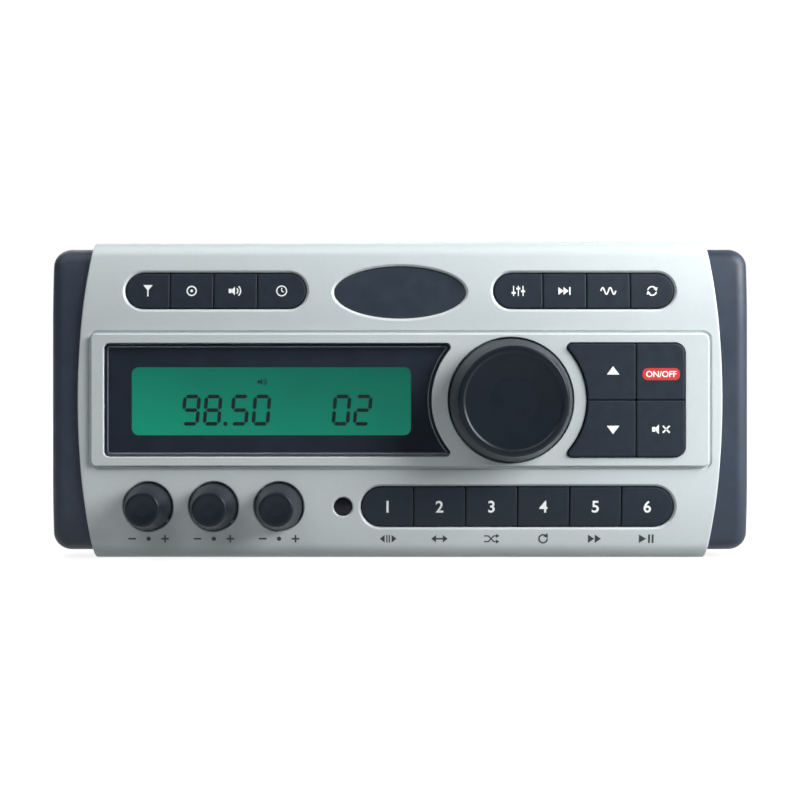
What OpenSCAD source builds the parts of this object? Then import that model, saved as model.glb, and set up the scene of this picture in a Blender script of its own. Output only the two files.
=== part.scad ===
// Flush-mounting marine radio receiver: a moulded head with keys and knobs on a sheet-metal chassis.
// X runs to the right, Y runs back into the dash and Z runs up. Y = 0 is the face of the dash,
// and the origin is the middle of the four mounting screws.

/* [Head] */
// Width of the head over both end caps
head_w = 217; // [210:1:236]
// Height of the head
head_h = 99; // [97:0.5:106]
// Depth of the head from the dash to the flat band of the fascia
head_d = 22; // [21:0.5:28]
// Radius of the fascia above and below its flat band
crown_r = 110; // [95:1:180]
// Radius of the top and bottom edges of the fascia
edge_r = 6; // [5:0.25:7]
// Wall of the fascia
wall = 2.4; // [2:0.1:2.6]
// How far each end of the fascia bows outwards
end_bow = 4.8; // [3:0.2:6]

/* [End caps] */
// Width of each end cap at mid height
cap_w = 8.5; // [8.2:0.1:11]
// How far the end caps lie below the fascia
cap_sink = 1.1; // [0.8:0.1:1.6]
// How far the end caps end inside the top and bottom of the fascia
cap_inset = 2.4; // [1.6:0.1:3]
// Wall of the end caps
cap_wall = 1.8; // [1.6:0.1:2.2]
// Radius of the outer corners of the end caps
cap_corner_r = 5.5; // [5:0.1:7]
// Radius along the outer front edge of the end caps
cap_side_r = 4; // [3:0.1:5]
// Diameter of the pegs that hold the end caps
cap_peg_d = 3.2; // [2.6:0.1:3.6]
// Distance of those pegs above and below the middle
cap_peg_z = 14; // [10:0.5:20]

/* [Raised panel] */
// Strip left at each end of the raised panel
panel_end = 3.2; // [2.5:0.1:5]
// Height of the raised panel
panel_h = 43.2; // [42:0.2:44]
// Height of the raised panel above the flat band
panel_rise = 1.3; // [1:0.1:1.8]
// Corner radius of the raised panel
panel_r = 2.8; // [2.2:0.1:4]
// Flat strip left above and below the raised panel
panel_strip = 1.4; // [1:0.1:2]

/* [Display] */
// Distance from the left end of the fascia to the lens
lens_end = 8.4; // [7:0.1:10]
// Height of the lens
lens_h = 35; // [33:0.2:36]
// Thickness of the lens
lens_t = 2; // [1.6:0.1:2.2]
// How far the lens lies below the raised panel
lens_sink = 0.3; // [0.1:0.05:0.4]
// Margin of the opening behind the lens, round the window in its mask
window_margin = 1.6; // [1:0.1:2.4]
// Radius of the left corners of the lens
lens_corner_r = 1.6; // [1:0.1:3]
// Width of the land between the volume knob and the lens
lens_land = 5.6; // [5:0.1:6.5]
// Thickness of the black mask behind the lens
mask_t = 0.3; // [0.2:0.05:0.4]
// Distance from the left edge of the lens to the window in the mask
window_end = 8.4; // [7.7:0.1:12]
// Distance from the arc of the lens to the window, at mid height
window_side = 6.3; // [5.6:0.1:10]
// Height of the window in the mask
window_h = 21.1; // [18:0.1:23]
// Drop of the window below the middle of the head
window_drop = 0.4; // [0:0.1:0.8]
// Corner radius of the window
window_r = 2.2; // [1:0.1:3]
// Thickness of the display panel
panel_glass_t = 2.8; // [2.2:0.1:3]

/* [Volume knob] */
// Distance from the right end of the fascia to the middle of the volume knob
volume_end = 65.7; // [65:0.1:66.6]
// Diameter of the volume knob
volume_d = 38; // [36:0.2:39]
// Diameter of its front edge
volume_front_d = 33.4; // [32:0.2:35]
// Height of the volume knob above the raised panel
volume_h = 15; // [12:0.5:18]
// Diameter of its shaft
volume_shaft_d = 6; // [5:0.1:6.4]

/* [Key pad] */
// Distance from the right end of the fascia to the pad
pad_end = 12; // [10.6:0.1:13]
// Height of the pad
pad_h = 35; // [33:0.2:36]
// Width of the outer column of its keys
pad_outer_w = 15.1; // [14:0.1:17]
// Height of the pad above the raised panel
pad_proud = 0.8; // [0.5:0.1:1.2]
// Radius of the right corners of the pad
pad_corner_r = 3.1; // [2:0.1:4]
// Width of the land between the volume knob and the pad
pad_land = 4.7; // [4.4:0.1:5.4]
// Radius of the pointed corners of the pad and the lens
tip_r = 1.2; // [0.8:0.1:1.5]

/* [Key rows] */
// Distance from the badge to each upper row
row_gap = 8.7; // [6.5:0.1:9.5]
// Distance from the ends of the fascia to the upper rows
row_end = 15; // [12.5:0.1:16]
// Height of the upper rows
row_h = 10.8; // [10:0.1:11.6]
// How far the upper rows lie inside the middle of their band
row_drop = 2.4; // [1.6:0.1:2.8]
// Reach of the inner key of each upper row, past an equal share
row_inner_extra = 1.6; // [0:0.1:3]
// Distance from the middle of the eye to the preset row
preset_gap = 5.8; // [5.2:0.1:5.9]
// Distance from the right end of the fascia to the preset row
preset_end = 15.2; // [12.5:0.1:16]
// Height of the preset row
preset_h = 12.2; // [11.6:0.1:13]
// How far the preset row lies inside the middle of its band
preset_drop = 3.1; // [2.4:0.1:3.4]
// Gap between neighbouring keys
key_gap = 0.4; // [0.3:0.05:0.6]
// Clearance round the keys in their openings
key_clear = 0.3; // [0.25:0.05:0.5]
// How far the row keys lie below the fascia
key_sink = 0.3; // [0.1:0.05:0.6]
// Thickness of the flange that holds each key behind its opening
key_flange_t = 1.4; // [1:0.1:1.8]
// Travel of the keys
key_travel = 0.8; // [0.4:0.1:1]
// Chamfer round the openings of the fascia
rim_chamfer = 0.7; // [0.5:0.1:1.2]
// Chamfer round the tone knobs and the eye
well_rim = 0.4; // [0.3:0.05:0.8]

/* [Tone knobs] */
// Diameter of the tone knobs
tone_d = 14.6; // [13:0.2:15.6]
// Diameter of their front edge
tone_front_d = 10.4; // [9.5:0.1:12]
// Height of the tone knobs above the flat band
tone_h = 12.5; // [10:0.5:15]
// Distance from the left end of the fascia to the middle of the outer tone knob
tone_end = 21.8; // [20:0.1:23]
// Pitch of the tone knobs
tone_pitch = 20.3; // [20:0.1:21]
// How far the tone knobs lie inside the middle of their band
tone_drop = 3.2; // [2.6:0.1:3.4]
// Diameter of their shafts
tone_shaft_d = 4; // [3.6:0.1:4.6]

/* [Badge and eye] */
// Width of the oval badge
badge_w = 41; // [38:0.2:44]
// Height of the oval badge
badge_h = 17; // [15:0.2:17.6]
// How far the badge lies inside the middle of its band
badge_drop = 2.5; // [1.8:0.1:2.8]
// How far the badge lies below the fascia
badge_sink = 0.9; // [0.5:0.1:1.2]
// Diameter of the remote-control eye
eye_d = 5.8; // [5:0.1:6.4]
// Distance from the middle of the inner tone knob to the middle of the eye
eye_gap = 19.9; // [19:0.1:20.6]

/* [Mounting] */
// Distance of the mounting screws from the ends of the head
screw_inset = 6; // [5.6:0.1:6.6]
// Distance of the mounting screws from the top and bottom of the head
screw_drop = 11.5; // [10:0.5:16]
// Diameter of the mounting holes
screw_hole_d = 4.4; // [4:0.1:5]
// Thickness of the back plate of the head
back_t = 3; // [2.6:0.1:3.4]
// Thickness of the dash gasket
gasket_t = 1.5; // [1:0.1:2]

/* [Chassis] */
// Width of the chassis
chassis_w = 178; // [174:1:180]
// Height of the chassis
chassis_h = 50; // [48:0.5:52]
// Depth of the chassis behind the dash
chassis_d = 120; // [112:1:150]
// Thickness of its sheet metal
sheet_t = 1.2; // [1:0.1:1.4]
// Number of fins on the heat sink
fin_count = 9; // [6:1:11]
// Depth of those fins
fin_d = 12; // [8:0.5:16]
// Diameter of the rear support stud
stud_d = 5; // [4:0.1:6]
// Length of the stud behind the chassis
stud_len = 14; // [12:0.5:20]

/* [Hidden] */
$fn = 64;

// Clearances and small sizes that several pieces share
fit = 0.2;
bond = 0.1;
running = 0.05;
eps = 0.5;
least_r = 0.4;
collar_w = 1.4;
key_lip = 0.9;
rim_over = 0.4;
rim_shift = 0.2;
tip_blend = 0.03;
floor_t = 1.8;
board_t = 1.6;
switch_h = 3.5;
switch_w = 6;
switch_bore = 2.4;
collar_lift = 0.5;
key_rest = 0.3;
plunger_reach = 1.6;
badge_flange = 1.6;
cap_tuck = 4;
gasket_edge = 1;
gasket_room = 3;

// Head: bowed ends, curved bands above and below the flat band, and rolled edges
fascia_w = head_w - 2 * cap_w;
flat_h = panel_h + 2 * panel_strip;
end_r = (head_h * head_h / 4 + end_bow * end_bow) / (2 * end_bow);
crown_c = [crown_r - head_d, flat_h / 2];
edge_blend = 0.05;
edge_z = head_h / 2 - edge_r + edge_blend;
edge_c = [crown_c.x - sqrt(pow(crown_r - edge_r + edge_blend, 2) - pow(edge_z - crown_c.y, 2)), edge_z];
panel_w = fascia_w - 2 * panel_end;
panel_y = -head_d - panel_rise;
rear_y = -gasket_t;
plate_y = rear_y - back_t;
plate_half_x = head_w / 2 - cap_wall - fit;
plate_half_z = head_h / 2 - max(cap_sink + cap_wall, wall) - fit;
ear_half_z = head_h / 2 - max(cap_inset + cap_wall, wall) - fit;
screw_pitch_x = head_w - 2 * screw_inset;
screw_pitch_z = head_h - 2 * screw_drop;
inner_y = -head_d + wall;

// Depth of the curved band behind the flat band at height z, t inside the skin
function crown_drop(z, t) =
    (crown_r - t) - sqrt(pow(crown_r - t, 2) - pow(max(abs(z) - flat_h / 2, 0), 2));
// Slope of the curved band at height z
function crown_slope(z) = asin((abs(z) - flat_h / 2) / crown_r);

// Places on the front: across from the ends of the fascia and from each other
volume_r = volume_d / 2;
lens_arc_r = volume_r + lens_land;
pad_arc_r = volume_r + pad_land;
volume_x = fascia_w / 2 - volume_end;
lens_left = fascia_w / 2 - lens_end;
window_x0 = window_end - lens_left;
window_x1 = volume_x - lens_arc_r - window_side;
window_w = window_x1 - window_x0;
window_left = -(window_x0 + window_x1) / 2;
pad_right = fascia_w / 2 - pad_end;
pad_split = pad_right - pad_outer_w;
row_in = badge_w / 2 + row_gap;
row_out = fascia_w / 2 - row_end;
tone_left = fascia_w / 2 - tone_end;
eye_left = tone_left - 2 * tone_pitch - eye_gap;
preset_left = eye_left - preset_gap;
preset_right = fascia_w / 2 - preset_end;

// Heights on the front, inside the middle of each curved band
band_z = (flat_h + head_h) / 4;
row_z = band_z - row_drop;
badge_z = band_z - badge_drop;
preset_z = band_z - preset_drop;
tone_z = band_z - tone_drop;
eye_z = preset_z;

// Keys seat on the flat rims of collars behind the fascia, and press switches on the control board
seat_z = max(row_z + row_h / 2, preset_z + preset_h / 2) + key_clear + collar_w;
seat_y = inner_y + crown_drop(seat_z, wall) + collar_lift;
flange_y = seat_y + key_flange_t;
switch_y = flange_y + key_travel + key_rest;
board_y = switch_y + switch_h;
board_back_y = board_y + board_t;
plunger_d = 1.8;
plunger_clear = 0.25;

// Function keys, in rows of four left and right of the badge
row_share = (row_out - row_in - row_inner_extra) / 4;
function row_edge(i) = i == 0 ? row_in : row_in + row_inner_extra + i * row_share;
preset_share = (preset_left + preset_right) / 6;
function preset_edge(i) = -preset_left + i * preset_share;

// Knobs stand in shallow wells
well_clear = 0.5;
well_depth = 2.9;
well_floor_y = panel_y + well_depth;
tone_r = tone_d / 2;
tone_xs = [for (i = [0 : 2]) -tone_left + i * tone_pitch];
tone_well_clear = 0.4;
tone_floor_lift = 0.6;
tone_floor_y = seat_y - tone_floor_lift;
knob_wall = 2;
knob_dish = 0.05;
dish_curve = 6;
volume_edge_r = 1.2;
tone_edge_r = 0.8;
knob_cover = 6;
rotary_gap = 0.25;
encoder_w = 13;
pot_w = 11;
bush_w = 1.1;
seal_t = 1;
seal_w = 1.4;
skirt_lift = 0.4;
shaft_depth = 3;
receiver_dome = 1;

// Display stack
lens_y = panel_y + lens_sink;
mask_y = lens_y + lens_t;
ledge_y = mask_y + mask_t;
lcd_y = inner_y + fit;
guide_y = lcd_y + panel_glass_t;
guide_t = 3;
frame_floor_t = 1;
frame_floor_y = guide_y + guide_t;
lcd_border = 5;
lcd_w = window_w + 2 * lcd_border;
lcd_h = window_h + 2 * lcd_border;
lcd_corner_r = 0.5;
frame_wall = 1.6;

// Screws of the head: shank, head, bosses and their places
screw_r = 1.3;
screw_len = 8;
screw_head_r = 2.4;
screw_head_h = 1.6;
boss_r = 2.4;
board_w = fascia_w - 2 * (end_bow + wall);
boss_room = 0.4;
boss_under = 1.6;
board_h = head_h - 2 * (wall + 2 * boss_r + 3 * boss_room);
board_r = 3;
head_boss_z = head_h / 2 - wall - boss_r - boss_room;
head_boss_xs = [-row_out + boss_r, -row_in - row_h / 2, row_in + row_h / 2, row_out - boss_r];
board_boss_zs = [(lens_h / 2 + row_z - row_h / 2) / 2, -(lens_h / 2 + preset_z - preset_h / 2) / 2];
board_boss_x = board_w / 2 - boss_r - boss_room;
board_boss_xs = [-board_boss_x, volume_x - volume_r - boss_under, board_boss_x];
head_boss_places = [for (x = head_boss_xs, s = [-1, 1]) [x, s * head_boss_z]];
board_boss_places = [for (x = board_boss_xs, z = board_boss_zs) [x, z]];

// Chassis: levels inside it, and places on its rear wall
tray_half_w = chassis_w / 2;
tray_half_h = chassis_h / 2;
lip_w = 10;
main_lift = 7;
main_z = -tray_half_h + sheet_t + main_lift;
main_top_z = main_z + board_t;
main_gap = 2;
main_y0 = rear_y + sheet_t + 2 * main_gap;
main_y1 = chassis_d - sheet_t - main_gap;
wall_y = chassis_d - sheet_t;
standoff_in = 12;
standoff_front = 8;
standoff_rear = 22;
lip_drop = 9;
lip_screw_short = 0.4;
board_screw_len = 6;
cover_screw_len = 5;
cover_screw_in = 10;
vent_w = 2.4;
vent_len = 22;
vent_pitch = 7;
tuner_x = -49;
tuner_y = 40;
tuner_w = 42;
tuner_l = 36;
tuner_h = 14;
can_x = 6;
can_y = 40;
can_r = 8;
can_h = 26;
can_pitch = 21;
chip_lift = 6;
chip_z0 = main_top_z + chip_lift;
chip_margin = 2;
leg_w = 0.8;
leg_t = 0.6;
leg_pitch = 2;
standoff_r = 3.5;
chassis_screw_r = 1.5;
chassis_screw_head_r = 2.8;
chassis_screw_head_h = 1.8;
skirt_h = 9;
skirt_in = 14;
sink_x = -50;
sink_w = 64;
sink_margin = 5;
sink_h = chassis_h - 2 * sink_margin;
sink_z0 = -sink_h / 2;
sink_base_t = 4;
fin_t = 1.6;
pad_sink_w = 24;
pad_sink_h = 18;
chip_t = 4.6;
sink_hole_out = 7;
sink_hole_x = pad_sink_w / 2 + sink_hole_out;
sink_hole_z = 8;
sink_screw_len = 4;
stud_x = -6;
stud_z = 8;
stud_flange_t = 1.5;
stud_collar_t = 4;
harness_x = 24;
harness_w = 34;
harness_h = 14;
harness_d = 18;
harness_out = 4;
harness_wall = 1.6;
harness_floor = 3;
harness_pins = 8;
pin_w = 1;
pin_len = 7;
pin_pitch = 3.6;
pin_lift = 2.4;
pin_rows = 5;
antenna_x = 53;
antenna_r = 6.4;
antenna_bore_r = 4.7;
antenna_bore_len = 12;
antenna_out = 9;
antenna_in = 14;
antenna_foot = 12;
antenna_pin_r = 1.8;
antenna_pin_len = 5;
antenna_lift = 9;
antenna_z = main_top_z + antenna_lift;
rca_x = 71;
rca_r = 4.15;
rca_shoulder = 0.9;
rca_pitch = 14;
rca_out = 9;
rca_block_w = 13;
rca_block_d = 10;
rca_pin_r = 1.65;
rca_pin_len = 9;
rca_margin = 7;
rca_z0 = main_top_z + rca_margin;
fuse_lift = 8.5;
fuse_z = main_top_z + harness_h + fuse_lift;
fuse_w = 19;
fuse_t = 5;
fuse_d = 11;
fuse_out = 4;
holder_wall = 1.6;
link_w = 36;
link_h = 8;
link_in = 9;
link_y1 = main_y0 + link_in;

// Directions and placing

function unit(v) = v / norm(v);

// Segments of a circle of radius r, so that a chord stays within 0.01 of its arc
function facets(r) = max(64, ceil(180 / acos(1 - 0.01 / r)));

// A front view drawn in X and Z, pushed along Y from y0 to y1
module along_y(y0, y1) {
    translate([0, y1, 0]) rotate([90, 0, 0]) linear_extrude(y1 - y0) children();
}

// A side view drawn in Y and Z, pushed along X from x0 to x1
module along_x(x0, x1) {
    translate([x0, 0, 0]) rotate([90, 0, 90]) linear_extrude(x1 - x0) children();
}

// A solid modelled up +Z, turned to stand out of the front at y
module facing_front(x, y, z) {
    translate([x, y, z]) rotate([90, 0, 0]) children();
}

// A solid modelled up +Z, turned to stand out of the back at y
module facing_back(x, y, z) {
    translate([x, y, z]) rotate([-90, 0, 0]) children();
}

// A box from one corner to the opposite one
module span(a, b) {
    translate(a) cube(b - a);
}

// Flat shapes

// The area between the chord from p to q and the arc of radius r about c
module arc_cap(c, r, p, q) {
    out = unit((p + q) / 2 - c) * r;
    intersection() {
        translate(c) circle(r, $fn = facets(r));
        polygon([p, q, q + out, p + out]);
    }
}

// A convex outline through pts, with corner i rounded to rads[i]
module rounded(pts, rads) {
    n = len(pts);
    u = [for (i = [0 : n - 1]) unit(pts[(i + n - 1) % n] - pts[i])];
    w = [for (i = [0 : n - 1]) unit(pts[(i + 1) % n] - pts[i])];
    half = [for (i = [0 : n - 1]) acos(u[i] * w[i]) / 2];
    a = [for (i = [0 : n - 1]) pts[i] + u[i] * rads[i] / tan(half[i])];
    b = [for (i = [0 : n - 1]) pts[i] + w[i] * rads[i] / tan(half[i])];
    polygon([for (i = [0 : n - 1]) each rads[i] > 0 ? [a[i], b[i]] : [pts[i]]]);
    for (i = [0 : n - 1])
        if (rads[i] > 0)
            arc_cap(pts[i] + unit(u[i] + w[i]) * rads[i] / sin(half[i]), rads[i], a[i], b[i]);
}

// A rectangle between two corners, rounded to r
module round_rect(a, b, r) {
    rounded([a, [b.x, a.y], b, [a.x, b.y]], [r, r, r, r]);
}

// A slot with half-round ends, from x0 to x1, h high
module pill(x0, x1, h) {
    translate([x0 + h / 2, -h / 2]) square([x1 - x0 - h, h]);
    for (s = [0, 1])
        translate([s ? x1 - h / 2 : x0 + h / 2, 0])
            rotate(s ? 180 : 0) intersection() {
                circle(h / 2);
                translate([-h, -h]) square([h, 2 * h]);
            }
}

// The plate left of a round land about the origin: far edge at -far, concave right side of radius arc_r.
// Grown by g all round. Each tip is cut back to a circle that crosses both of its sides.
module land_plate(far, h, arc_r, corner_r, g) {
    top = h / 2 + g;
    r = arc_r - g;
    tip = max(tip_r + g, least_r);
    cr = max(corner_r + g, least_r);
    tip_c = [-sqrt(pow(r + tip, 2) - pow(top - tip, 2)), top - tip];
    a = [tip_c.x, top];
    b = tip_c * r / (r + tip);
    along = unit(b - a) * arc_r;
    out = [-along.y, along.x];
    difference() {
        rounded([[-far - g, -top], [0, -top], [0, top], [-far - g, top]], [cr, 0, 0, cr]);
        circle(r);
        for (s = [0, 1])
            mirror([0, s]) difference() {
                polygon([a - along, b + along, b + along + out, a - along + out]);
                translate(tip_c) circle(tip + tip_blend);
            }
    }
}

module lens_outline(g) {
    translate([volume_x, 0]) land_plate(lens_left + volume_x, lens_h, lens_arc_r, lens_corner_r, g);
}

module pad_outline(g) {
    translate([volume_x, 0]) mirror([1, 0])
        land_plate(pad_right - volume_x, pad_h, pad_arc_r, pad_corner_r, g);
}

module lcd_rect(w, h, r) {
    translate([-window_left, -window_drop]) round_rect([-w / 2, -h / 2], [w / 2, h / 2], r);
}

// Skin of the head

// Side view of the head, t inside its skin, back to the given y
module head_side(t, back) {
    top = head_h / 2 - t;
    front = -head_d + t;
    turn = edge_c + unit(edge_c - crown_c) * (edge_r - t);
    difference() {
        union() {
            translate([front, -flat_h / 2]) square([back - front, flat_h]);
            for (s = [1, -1])
                intersection() {
                    translate([crown_c.x, s * crown_c.y]) circle(crown_r - t, $fn = facets(crown_r));
                    translate([front, s > 0 ? flat_h / 2 : -top]) square([back - front, top - flat_h / 2]);
                }
        }
        for (s = [1, -1])
            difference() {
                translate([front - 1, s > 0 ? turn.y : -top - 1])
                    square([edge_c.x - front + 1, top + 1 - turn.y]);
                translate([edge_c.x, s * edge_c.y]) circle(edge_r - t);
            }
    }
}

// Front view between the bowed ends of the fascia, t inside them
module between_ends(t) {
    intersection_for(s = [-1, 1])
        translate([s * (end_r - fascia_w / 2), 0]) circle(end_r - t, $fn = facets(end_r));
}

module head_block(t, back) {
    intersection() {
        along_x(-head_w / 2, head_w / 2) head_side(t, back);
        along_y(-head_d - eps, back + eps) between_ends(t);
    }
}

// The solid inside the skin, wide enough to trim pieces of any width
module under_skin(t) {
    along_x(-head_w / 2, head_w / 2) head_side(t, 0);
}

// A slab with a 45 degree bevel as deep as its rise
module bevelled_panel() {
    x = panel_w / 2;
    z = panel_h / 2;
    base = [[-1, -eps], [0, -eps], [0, 0], [-panel_rise, panel_rise], [-1 - panel_rise, panel_rise]];
    cx = x - panel_r;
    cz = z - panel_r;
    along_x(-cx, cx) polygon([[-head_d + eps, -z], [-head_d, -z], [panel_y, -z + panel_rise],
        [panel_y, z - panel_rise], [-head_d, z], [-head_d + eps, z]]);
    for (s = [-1, 1]) {
        translate([0, 0, -cz]) linear_extrude(2 * cz)
            polygon([[s * cx, -head_d + eps], [s * x, -head_d + eps], [s * x, -head_d],
                [s * (x - panel_rise), panel_y], [s * cx, panel_y]]);
        for (t = [-1, 1])
            facing_front(s * cx, -head_d, t * cz)
                rotate([0, 0, s > 0 ? (t > 0 ? 0 : -90) : (t > 0 ? 90 : 180)])
                    rotate_extrude(angle = 90)
                        polygon([[0, -eps], [panel_r, -eps], [panel_r, 0],
                            [panel_r - panel_rise, panel_rise], [0, panel_rise]]);
    }
}

// Cutters

// A 45 degree countersink for a slot from x0 to x1, h high, at height z on the curved band.
// It narrows past the wall of the slot and is a little longer, so that their surfaces cross
module slot_rim(x0, x1, h, z) {
    c = rim_chamfer;
    r = h / 2;
    side = sign(z);
    left = x0 + r - rim_shift;
    right = x1 - r + rim_shift;
    translate([0, -head_d + crown_drop(z, 0), z])
        rotate([-side * crown_slope(z), 0, 0]) {
            along_x(left, right)
                polygon([[-1, -r - c - 1], [-1, r + c + 1], [c + rim_over, r - rim_over],
                    [c + rim_over, rim_over - r]]);
            for (s = [0, 1])
                translate([s ? right : left, 0, 0]) rotate([90, 0, 0])
                    rotate([0, 0, s ? -90 : 90]) rotate_extrude(angle = 180)
                        polygon([[0, -c - rim_over], [r - rim_over, -c - rim_over], [r + c + 1, 1], [0, 1]]);
        }
}

// The same for a round hole of radius r
module round_rim(x, r, z) {
    c = well_rim;
    translate([x, -head_d + crown_drop(z, 0), z]) rotate([-sign(z) * crown_slope(z), 0, 0])
        translate([0, -1, 0]) rotate([-90, 0, 0])
            cylinder(r1 = r + c + 1, r2 = r - rim_over, h = c + 1 + rim_over);
}

// An upright oval prism or cone, facing the front, with half sizes a and b at the back
module oval(a, b, y0, y1, flare) {
    translate([0, y0, badge_z]) rotate([-90, 0, 0]) scale([a, b, 1])
        cylinder(r1 = 1 + flare, r2 = 1, h = y1 - y0);
}

// Openings of the fascia, grown by g
module row_slots(g) {
    for (s = [-1, 1])
        translate([0, row_z])
            pill(s > 0 ? row_in - g : -row_out - g, s > 0 ? row_out + g : -row_in + g, row_h + 2 * g);
}

module preset_slot(g) {
    translate([0, -preset_z]) pill(-preset_left - g, preset_right + g, preset_h + 2 * g);
}

module tone_discs(r) {
    for (x = tone_xs)
        translate([x, -tone_z]) circle(r);
}

module eye_disc(r) {
    translate([-eye_left, -eye_z]) circle(r);
}

// Head pieces

// Bosses and collars stand on the inside of the fascia
module fascia_inside() {
    intersection() {
        head_block(wall - eps, rear_y);
        union() {
            along_y(-head_d, seat_y) {
                row_slots(key_clear + collar_w);
                preset_slot(key_clear + collar_w);
                eye_disc(eye_d / 2 + collar_w);
                pad_outline(key_clear + collar_w);
            }
            along_y(-head_d, tone_floor_y + floor_t) tone_discs(tone_r + tone_well_clear + collar_w);
            facing_front(volume_x, well_floor_y + floor_t, 0)
                cylinder(r = volume_r + well_clear + collar_w, h = floor_t + 1);
            for (p = head_boss_places)
                facing_front(p.x, plate_y, p.y) cylinder(r = boss_r, h = head_d);
            for (p = board_boss_places)
                facing_front(p.x, board_y, p.y) cylinder(r = boss_r, h = head_d);
        }
    }
}

module fascia_openings() {
    // Display: a pocket for the lens and mask, and an opening behind its window
    along_y(panel_y - eps, ledge_y) lens_outline(bond);
    along_y(panel_y - eps, inner_y + eps)
        lcd_rect(window_w + 2 * window_margin, window_h + 2 * window_margin, window_r);
    // Keys and eye
    along_y(panel_y - eps, seat_y + eps) {
        row_slots(key_clear);
        preset_slot(key_clear);
        eye_disc(eye_d / 2);
        pad_outline(key_clear);
    }
    for (s = [-1, 1])
        slot_rim(s > 0 ? row_in - key_clear : -row_out - key_clear,
            s > 0 ? row_out + key_clear : -row_in + key_clear, row_h + 2 * key_clear, row_z);
    slot_rim(-preset_left - key_clear, preset_right + key_clear, preset_h + 2 * key_clear, -preset_z);
    round_rim(-eye_left, eye_d / 2, -eye_z);
    // Oval badge, with its flared rim
    oval(badge_w / 2, badge_h / 2, panel_y - eps, seat_y, 0);
    translate([0, -head_d + crown_drop(badge_z, 0), badge_z]) rotate([-crown_slope(badge_z), 0, 0])
        translate([0, 0, -badge_z]) oval(badge_w / 2, badge_h / 2, -1, rim_chamfer, 0.2);
    // Knob wells and the holes for their bushes
    facing_front(volume_x, well_floor_y, 0) cylinder(r = volume_r + well_clear, h = head_d);
    facing_front(volume_x, 0, 0) cylinder(r = volume_shaft_d / 2 + bush_w + fit, h = head_d);
    for (x = tone_xs) {
        facing_front(x, tone_floor_y, -tone_z) cylinder(r = tone_r + tone_well_clear, h = head_d);
        facing_front(x, 0, -tone_z) cylinder(r = tone_shaft_d / 2 + bush_w + fit, h = head_d);
        round_rim(x, tone_r + tone_well_clear, -tone_z);
    }
    // Pilot holes of the bosses
    for (p = head_boss_places)
        facing_front(p.x, plate_y + eps, p.y) cylinder(r = screw_r + running, h = screw_len);
    for (p = board_boss_places)
        facing_front(p.x, board_y + eps, p.y) cylinder(r = screw_r + running, h = screw_len - 1);
    // The ears of the back plate pass under the ends
    span([-head_w, plate_y, -plate_half_z - fit], [head_w, 1, plate_half_z + fit]);
}

module fascia() {
    color("Gainsboro") difference() {
        union() {
            difference() {
                head_block(0, rear_y);
                head_block(wall, eps);
            }
            bevelled_panel();
            fascia_inside();
        }
        fascia_openings();
    }
}

// Outside of the right end cap, t inside its skin
module cap_block(t, back) {
    x = head_w / 2 - t;
    z = head_h / 2 - cap_inset - t;
    y = -head_d + cap_sink + t;
    inner = fascia_w / 2 - end_bow - cap_tuck;
    intersection() {
        along_x(inner, x + 1) head_side(cap_sink + t, back);
        along_y(-head_d, back) difference() {
            rounded([[inner, -z], [x, -z], [x, z], [inner, z]], [0, cap_corner_r - t, cap_corner_r - t, 0]);
            translate([fascia_w / 2 - end_r, 0])
                circle(end_r + (t > 0 ? 0 : fit), $fn = facets(end_r));
        }
        translate([0, 0, -head_h / 2]) linear_extrude(head_h)
            rounded([[inner, y], [x, y], [x, 1], [inner, 1]], [0, cap_side_r - t, 0, 0]);
    }
}

module end_cap() {
    color("DarkSlateGray") difference() {
        cap_block(0, rear_y);
        cap_block(cap_wall, eps);
    }
    color("DarkSlateGray") for (s = [-1, 1])
        facing_front(screw_pitch_x / 2, rear_y - fit, s * cap_peg_z)
            cylinder(d = cap_peg_d, h = head_d + rear_y - fit - cap_sink - cap_wall / 2);
}

module left_end_cap() {
    mirror([1, 0, 0]) end_cap();
}

module right_end_cap() {
    end_cap();
}

module display_lens() {
    color("DimGray", 0.4) along_y(lens_y, mask_y) lens_outline(0);
}

module display_mask() {
    color("Black") along_y(mask_y, ledge_y) difference() {
        lens_outline(0);
        lcd_rect(window_w, window_h, window_r);
    }
}

module lcd_panel() {
    color("SeaGreen") along_y(lcd_y, guide_y) lcd_rect(lcd_w, lcd_h, lcd_corner_r);
}

module light_guide() {
    color("MintCream") along_y(guide_y, frame_floor_y) lcd_rect(lcd_w, lcd_h, lcd_corner_r);
}

module lcd_frame() {
    w = lcd_w + 2 * (fit + frame_wall);
    h = lcd_h + 2 * (fit + frame_wall);
    color("WhiteSmoke") difference() {
        along_y(lcd_y + fit, board_y) lcd_rect(w, h, frame_wall);
        along_y(lcd_y, frame_floor_y) lcd_rect(lcd_w + 2 * fit, lcd_h + 2 * fit, lcd_corner_r);
        along_y(frame_floor_y + frame_floor_t, board_y + eps)
            lcd_rect(lcd_w + 2 * fit, lcd_h + 2 * fit, lcd_corner_r);
    }
}

module badge_plate() {
    color("DarkSlateGray") {
        intersection() {
            oval(badge_w / 2 - fit, badge_h / 2 - fit, panel_y, seat_y, 0);
            under_skin(badge_sink);
        }
        intersection() {
            oval(badge_w / 2 + badge_flange, badge_h / 2 + badge_flange, panel_y, seat_y, 0);
            under_skin(wall + bond);
        }
    }
}

module remote_eye() {
    r = eye_d / 2 - bond;
    front = -head_d + crown_drop(eye_z, 0) + well_rim;
    color("Maroon") facing_front(-eye_left, flange_y, -eye_z) rotate_extrude() {
        square([r + collar_w, key_flange_t]);
        intersection() {
            square([r, flange_y - front]);
            translate([0, flange_y - front - 3 * r]) circle(3 * r);
        }
    }
}

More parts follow.
